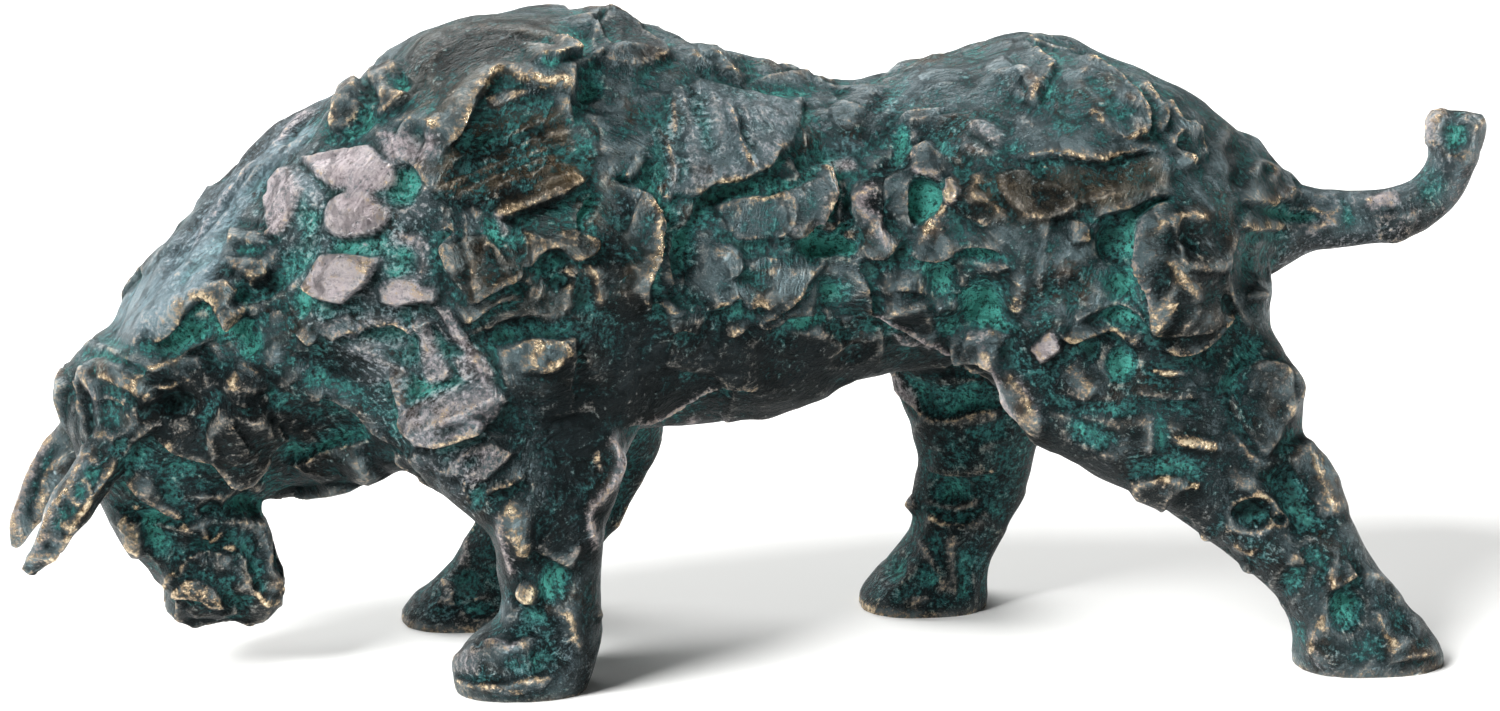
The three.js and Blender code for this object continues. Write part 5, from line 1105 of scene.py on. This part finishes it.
def bullSurface(node):
    dense = denseCopy(node, surface["voxel"])
    skin = Skin(dense)
    print("dense surface:", skin.count, "points")
    onSole = skin.points[:, 2] < surface["soleHeight"]
    even = evenedBull(skin)
    even[onSole, 2] = 0
    outward = skin.normals(even)
    facing = outward @ -viewAxes()[2]
    x, y, z = even.T
    farLeg, farHorn = places["farLeg"], places["farHorn"]
    far = (y > farLeg["behind"]) & (z < farLeg["under"])
    far |= (y > farHorn["behind"]) & (x < farHorn["before"]) & (z < farHorn["under"])
    sole = smoothStep(*relief["soleClear"], z)
    seen = smoothStep(0.0, 0.22, facing) * sole
    shown = smoothStep(-0.5, 0.0, facing) * sole
    gates = {"near": seen * ~far, "far": seen * far, "rim": smoothStep(-0.65, -0.2, facing)}
    size, reach = relief["wobble"]
    wobble = np.stack([cloudyNoise(even, size, seed) for seed in (11, 21)], -1) * reach

    m = Modelling(photoPixels(even), gates, wobble)
    for part in (
        modelPlanes, modelHead, modelNeck, modelShoulder, modelForelegs, modelBack, modelHaunch, modelHindLegs,
        modelTail,
    ):
        part(m)
        print(part.__name__, "done")

    size, reach = relief["warp"]
    bent = even + np.stack([cloudyNoise(even, size, seed, 2) for seed in (31, 41, 51)], -1) * reach
    size, rise, share = relief["lumps"]
    height = rise * cloudyNoise(even, size, 101) * (1 - (1 - share) * shown)
    for name in ("slabs", "pats", "crumbs"):
        size, lean, step, edge, most, share, seed = relief[name]
        move, turn = pattedFlat(bent, outward, size, seed, lean, step, edge, most)
        height += move * (1 - (1 - share) * shown)
        if name == "pats":
            strokeTurn = turn * math.pi
    for size, rise, share, seed in relief["ridges"]:
        lines = np.abs(cloudyNoise(bent * (0.8, 1.0, 1.25), size, seed, 2))
        height += rise * ((1 - np.clip(lines * 2.2, 0, 1)) ** 1.5 - 0.35) * (1 - (1 - share) * shown)
    along = x * np.cos(strokeTurn) + z * np.sin(strokeTurn)
    across = z * np.cos(strokeTurn) - x * np.sin(strokeTurn)
    size, wide, rise = relief["strokes"]
    height += rise * cloudyNoise(np.stack([along / size, across / wide, y / wide], -1), 1.0, 121, 2)
    height *= sole * (1 - relief["calmest"] * skin.evened(np.clip(m.tones["calm"], 0, 1), 8))
    horns = smoothStep(*places["hornAlong"], x) * smoothStep(*places["hornUp"], z)
    tail = smoothStep(*places["tailAlong"], x) * smoothStep(*places["tailUp"], z)
    height *= 1 - relief["thinnest"] * np.maximum(horns, tail)
    height += np.clip(m.relief * relief["markHeight"], *relief["markRoom"])
    print("general modelling done")

    final = planed(skin, even + outward * height[:, None], *surface["planing"])
    final[:, 2] = np.maximum(final[:, 2], 0)
    final[onSole, 2] = 0
    finalOut = skin.normals(final)
    print("surface planed")

    # Wear, verdigris and painted shade follow the form: edges stand out from the smoothed surface, hollows lie under
    # it
    masks = {}
    for name, (rounds, full) in formMasks.items():
        proud = np.sum((final - skin.evened(final, rounds)) * finalOut, axis=1)
        masks[name] = np.clip(proud / full, -1, 1) * 0.5 + 0.5
    patches = cloudyNoise(even, hiddenPatina["size"], hiddenPatina["seed"])
    hiddenGold = hiddenPatina["gold"] * (1 - shown) * smoothStep(0.0, 0.5, patches)
    hiddenGreen = hiddenPatina["green"] * (1 - shown) * smoothStep(0.0, 0.6, -patches)
    # painted shade: surfaces that face downwards are darkened
    undersideShade = 0.8 * smoothStep(-0.05, -0.75, finalOut[:, 2])
    masks["green"] = skin.evened(np.clip(np.maximum(m.tones["green"], hiddenGreen), 0, 1.2) / 1.2, 6)
    masks["gold"] = np.clip(np.maximum(m.tones["gold"], hiddenGold), 0, 1)
    masks["dark"] = skin.evened(np.clip(m.tones["dark"] + undersideShade, 0, 1), 4)
    for name, rounds in (("pale", 2), ("blue", 4), ("brown", 6)):
        masks[name] = skin.evened(np.clip(m.tones[name], 0, 1), rounds)
    masks = {name: skin.evened(values, 1) for name, values in masks.items()}
    dense.vertices.foreach_set("co", (final / 1000).ravel())
    dense.update()
    return dense, final, masks, np.stack([along, across, y], -1) / 1000


# The dense surface brought down to what a library part may hold, with its masks carried over
def bullPiece(node):
    dense, points, masks, strokeSpace = bullSurface(node)
    working = bpy.data.objects.new("workingBull", dense)
    bpy.context.scene.collection.objects.link(working)
    split = working.modifiers.new("triangles", "TRIANGULATE")
    split.quad_method = "SHORTEST_DIAGONAL"
    fewer = working.modifiers.new("fewer", "DECIMATE")
    dense.calc_loop_triangles()
    fewer.ratio = surface["trianglesKept"] / len(dense.loop_triangles)
    graph = bpy.context.evaluated_depsgraph_get()
    mesh = bpy.data.meshes.new_from_object(working.evaluated_get(graph))
    bpy.data.objects.remove(working)
    mesh.name = "castBull"
    tree = kdtree.KDTree(len(points))
    for i, point in enumerate(points):
        tree.insert(point, i)
    tree.balance()
    nearest = np.array([tree.find(v.co * 1000)[1] for v in mesh.vertices])
    stored = {name: np.stack([masks[kind] for kind in kinds], -1) for name, kinds in storedMasks.items()}
    stored["strokes"] = strokeSpace
    for name, values in stored.items():
        attribute = mesh.attributes.new(name, "FLOAT_VECTOR", "POINT")
        attribute.data.foreach_set("vector", values[nearest].ravel())
    mesh.shade_smooth()
    bull = bpy.data.objects.new("castBull", mesh)
    bpy.context.scene.collection.objects.link(bull)
    print("bull:", len(mesh.polygons), "triangles")
    return bull


def linear(hexColour):
    channels = [int(hexColour[i : i + 2], 16) / 255 for i in (1, 3, 5)]
    return [c / 12.92 if c <= 0.04045 else ((c + 0.055) / 1.055) ** 2.4 for c in channels] + [1.0]


# One node with its settings. An input is a value, a hex colour or an output of another node
def addNode(tree, kind, inputs=(), out=0, **settings):
    node = tree.nodes.new("ShaderNode" + kind)
    for name, value in settings.items():
        setattr(node, name, value)
    for socket, value in inputs.items() if isinstance(inputs, dict) else enumerate(inputs):
        if isinstance(value, bpy.types.NodeSocket):
            tree.links.new(value, node.inputs[socket])
        else:
            node.inputs[socket].default_value = linear(value) if isinstance(value, str) else value
    if node.outputs:
        return node.outputs[out]


# Bronze, cast from a clay model and patinated with copper salts. The acid leaves it nearly black, the
# verdigris stays in hollows and brush marks, handling rubs the edges back to golden metal, and the sand
# grain of the casting breaks up every tone. Shade is painted black into hollows, creases, grooves and
# undersides, and highlights, sheen and a bluish reflection of the light above are painted onto edges and slabs.
bronzeFinish = {
    "black": "#0e1517",
    "brown": "#5a5047",
    "warmBrown": "#6b5a42",
    "slate": "#66777b",
    "deepGreen": "#1c5054",
    "verdigris": "#357d7a",
    "brightGreen": "#54b8aa",
    "gold": "#b8976a",
    # the next four are partly painted light: a highlight on gold, a highlight on worn edges, a sheen on burnished
    # slabs, and a reflection of the light above
    "paintedGoldHighlight": "#ffecca",
    "wearAndHighlight": "#d0ccc4",
    "paleMetal": "#d3c5c8",
    "blueMetal": "#93afba",
    "bumpDepth": 2.6,  # millimetres at the full height of the grain
    "strokeWide": 0.5,
    "strokeLong": 5.0,
    # size of each pattern in millimetres, its detail and its roughness
    "patterns": {
        "cloud": (14.0, 4, 0.55), "blotch": (4.5, 3, 0.55), "grit": (1.3, 5, 0.8), "speckle": (0.9, 4, 0.75),
        "grain": (0.5, 2, 0.55), "strokes": (1.1, 3, 0.6),
    },
    # how much of each mask and pattern goes into what a tone follows
    "mixes": {
        "stipple": {"speckle": 1.0, "strokes": 0.6, "grit": 0.9},
        "ground": {"cloud": 1.0, "blotch": 0.8},
        "warm": {"brown": 1.0, "stipple": 0.8, "blotch": 0.8},
        # deep is painted shade: black in hollows, creases and on undersides
        "deep": {"hollow": 0.5, "crease": 0.45, "dark": 0.8, "blotch": 1.1, "stipple": 1.3},
        "wet": {
            "green": 0.75, "hollow": 0.7, "crease": 0.35, "stipple": 2.0, "blotch": 0.9, "cloud": 0.9, "dark": -0.35,
        },
        # bluish is a painted reflection of the light above, palest a painted sheen on burnished metal
        "pits": {"grit": 1.0, "speckle": 1.2},
        "paintedBlueReflectionMix": {"blue": 1.0, "crease": -0.3, "stipple": 1.6},
        "palest": {"pale": 1.0, "crease": -0.3, "stipple": 1.6},
        # cut is painted shade in tight grooves, and worn paints edges paler as wear and as a highlight
        "cut": {"edge": -1.0, "stipple": 0.5, "green": -0.35},
        "wearAndHighlight": {"edge": 1.0, "stipple": 1.2},
        "height": {"speckle": 0.34, "grain": 0.12, "strokes": 0.8, "grit": 0.45},
    },
}


def castBronze():
    finish = bronzeFinish
    material = bpy.data.materials.new("patinatedBronze")
    material.use_nodes = True
    tree = material.node_tree
    tree.nodes.clear()

    def total(start, **weights):
        for name, weight in weights.items():
            start = addNode(tree, "Math", (field[name], weight, start), operation="MULTIPLY_ADD")
        return start

    # A coat follows its mix: it begins to show at low and is strongest at high
    def coat(under, over, mix, low, high, strongest=1.0):
        inputs = {"Value": mix, "From Min": low, "From Max": high}
        share = addNode(tree, "MapRange", inputs, interpolation_type="SMOOTHSTEP")
        strength = addNode(tree, "Math", (share, strongest), operation="MULTIPLY")
        return addNode(tree, "Mix", {"Factor": strength, 6: under, 7: over}, 2, data_type="RGBA"), share

    # masks as they are stored, then patterns, which go as far under nothing as over it
    field = {}
    for name, kinds in storedMasks.items():
        vector = addNode(tree, "Attribute", out="Vector", attribute_name=name)
        for i, kind in enumerate(kinds):
            field[kind] = addNode(tree, "SeparateXYZ", (vector,), i)
    field["edge"] = addNode(tree, "Math", (field["edge"], 0.5), operation="SUBTRACT")
    place = addNode(tree, "TexCoord", out="Object")
    strokeAt = addNode(tree, "Attribute", out="Vector", attribute_name="strokes")
    stretch = (finish["strokeWide"] / finish["strokeLong"], 1.0, 1.0)
    stretched = addNode(tree, "Mapping", {"Vector": strokeAt, "Scale": stretch}, vector_type="POINT")
    for name, (size, detail, roughness) in finish["patterns"].items():
        at = stretched if name == "strokes" else place
        inputs = {"Vector": at, "Scale": 1000 / size, "Detail": detail, "Roughness": roughness}
        field[name] = addNode(tree, "Math", (addNode(tree, "TexNoise", inputs), 0.5), operation="SUBTRACT")
    for name, weights in finish["mixes"].items():
        field[name] = total(0.0, **weights)

    # dark ground, with painted shade turning it black in hollows, creases and on undersides
    colour, _ = coat(finish["slate"], finish["brown"], field["ground"], -0.02, 0.24)
    colour, _ = coat(colour, finish["warmBrown"], field["warm"], 0.2, 1.0, 0.85)
    colour, _ = coat(colour, finish["black"], field["deep"], 0.0, 0.8, 0.95)

    # verdigris in hollows and where it was brushed on
    greens, _ = coat(finish["deepGreen"], finish["verdigris"], field["wet"], 0.52, 1.1)
    greens, _ = coat(greens, finish["brightGreen"], field["wet"], 1.0, 1.5)
    greens, _ = coat(greens, finish["black"], field["pits"], 0.04, -0.18, 0.8)
    colour, greenShare = coat(colour, greens, field["wet"], 0.3, 0.94, 0.8)

    # pale metal, burnished and with a painted sheen, and bluish metal that is a painted reflection of the light
    # above, on the slabs
    colour, _ = coat(colour, finish["blueMetal"], field["paintedBlueReflectionMix"], 0.05, 1.0, 0.62)
    colour, paleShare = coat(colour, finish["paleMetal"], field["palest"], 0.1, 1.0, 0.82)

    # painted shade keeps tight grooves black, and edges are painted paler, as wear and as a highlight
    colour, _ = coat(colour, finish["black"], field["cut"], 0.1, 0.5, 0.75)
    colour, _ = coat(colour, finish["wearAndHighlight"], field["wearAndHighlight"], 0.1, 0.8, 0.62)

    # golden metal on the rubbed edges, with a painted highlight where they are rubbed most
    patchy = addNode(tree, "Math", (field["blotch"], 2.2, 0.75), operation="MULTIPLY_ADD", use_clamp=True)
    handled = addNode(tree, "Math", (field["gold"], patchy), operation="MULTIPLY")
    handled = addNode(tree, "Math", (handled, 0.5), operation="MULTIPLY")
    rubbed = total(handled, edge=1.15, blotch=0.8, stipple=1.7, hollow=-0.3)
    golds, _ = coat(finish["gold"], finish["paintedGoldHighlight"], rubbed, 0.6, 1.1)
    colour, goldShare = coat(colour, golds, rubbed, 0.4, 0.95, 0.92)

    # the shares of green, gold, and pale metal with its painted sheen say how metallic and how rough the surface is
    metal = addNode(tree, "Math", (greenShare, -0.45, 0.88), operation="MULTIPLY_ADD")
    bare = addNode(tree, "Math", (paleShare, 0.7), operation="MULTIPLY")
    for share in (bare, goldShare):
        metal = addNode(tree, "Math", (metal, share), operation="MAXIMUM")
    rough = addNode(tree, "Math", (greenShare, 0.24, 0.32), operation="MULTIPLY_ADD")
    rough = addNode(tree, "Math", (goldShare, -0.1, total(rough, dark=0.15)), operation="MULTIPLY_ADD")
    rough = addNode(tree, "Math", (field["stipple"], 0.2, rough), operation="MULTIPLY_ADD", use_clamp=True)

    # sandy grain of the casting and the bristle marks of the model
    depth = {"Height": field["height"], "Strength": 1.0, "Distance": finish["bumpDepth"] / 1000}
    inputs = {"Base Color": colour, "Metallic": metal, "Roughness": rough, "Normal": addNode(tree, "Bump", depth)}
    addNode(tree, "OutputMaterial", {"Surface": addNode(tree, "BsdfPrincipled", inputs)})
    return material


bull = bullPiece(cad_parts["bull"])
bull.data.materials.clear()
bull.data.materials.append(castBronze())
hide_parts("bull")
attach(bull, "root")

# Studio: a pale floor, a key light from the upper left in front, a faint fill from the right, a broad
# light above and behind that the top planes mirror, and a weak one from all round. Directions and places
# are from the bull, in metres; a sun's spread is in degrees
studio = {
    "floorSize": 14.0,
    "floorColour": "#f4f4f2",
    "world": 0.08,
    "key": {"kind": "SUN", "at": (-0.70, -0.42, 0.64), "strength": 6.1, "spread": 26.0},
    "fill": {"kind": "SUN", "at": (0.55, -0.8, 0.25), "strength": 0.15, "spread": 60.0},
    "back": {"kind": "AREA", "at": (-0.25, 0.75, 0.85), "strength": 17.0, "spread": 1.3},
}


def paleFloor():
    half = studio["floorSize"] / 2
    mesh = bpy.data.meshes.new("floor")
    mesh.from_pydata([(-half, -half, 0), (half, -half, 0), (half, half, 0), (-half, half, 0)], [], [(0, 1, 2, 3)])
    floor = bpy.data.objects.new("floor", mesh)
    bpy.context.scene.collection.objects.link(floor)
    material = bpy.data.materials.new("paleFloorPaint")
    material.use_nodes = True
    shader = material.node_tree.nodes["Principled BSDF"]
    shader.inputs["Base Color"].default_value = linear(studio["floorColour"])
    shader.inputs["Roughness"].default_value = 0.9
    mesh.materials.append(material)


def softLight(name):
    values = studio[name]
    data = bpy.data.lights.new(name, values["kind"])
    data.energy = values["strength"]
    if values["kind"] == "SUN":
        data.angle = math.radians(values["spread"])
    else:
        data.shape = "DISK"
        data.size = values["spread"]
    light = bpy.data.objects.new(name, data)
    light.location = values["at"]
    light.rotation_euler = Vector(values["at"]).to_track_quat("Z", "Y").to_euler()
    bpy.context.scene.collection.objects.link(light)


paleFloor()
for name in ("key", "fill", "back"):
    softLight(name)
world = bpy.data.worlds.new("studio")
world.use_nodes = True
world.node_tree.nodes["Background"].inputs["Color"].default_value = (1, 1, 1, 1)
world.node_tree.nodes["Background"].inputs["Strength"].default_value = studio["world"]
bpy.context.scene.world = world
bpy.context.scene.view_settings.view_transform = "Standard"


def photoCamera():
    right, up, ahead = viewAxes()
    width, tall = photoView["frame"]
    scale = photoView["pixelsPerMm"]
    offset = ((width / 2 - photoView["centre"][0]) / scale, (photoView["centre"][1] - tall / 2) / scale)
    aim = np.array(photoView["aim"])
    eye = aim - photoView["distance"] * ahead
    target = aim + offset[0] * right + offset[1] * up
    camera = bpy.data.cameras.new("photoCamera")
    camera.sensor_width = photoView["sensor"]
    camera.lens = photoView["sensor"] * scale * photoView["distance"] / width
    camera.clip_start, camera.clip_end = 0.05, 50
    seat = bpy.data.objects.new("photoCamera", camera)
    seat.location = eye / 1000
    seat.rotation_euler = Vector(target - eye).to_track_quat("-Z", "Y").to_euler()
    bpy.context.scene.collection.objects.link(seat)
    bpy.context.scene.camera = seat


photoCamera()
print("scene ready")
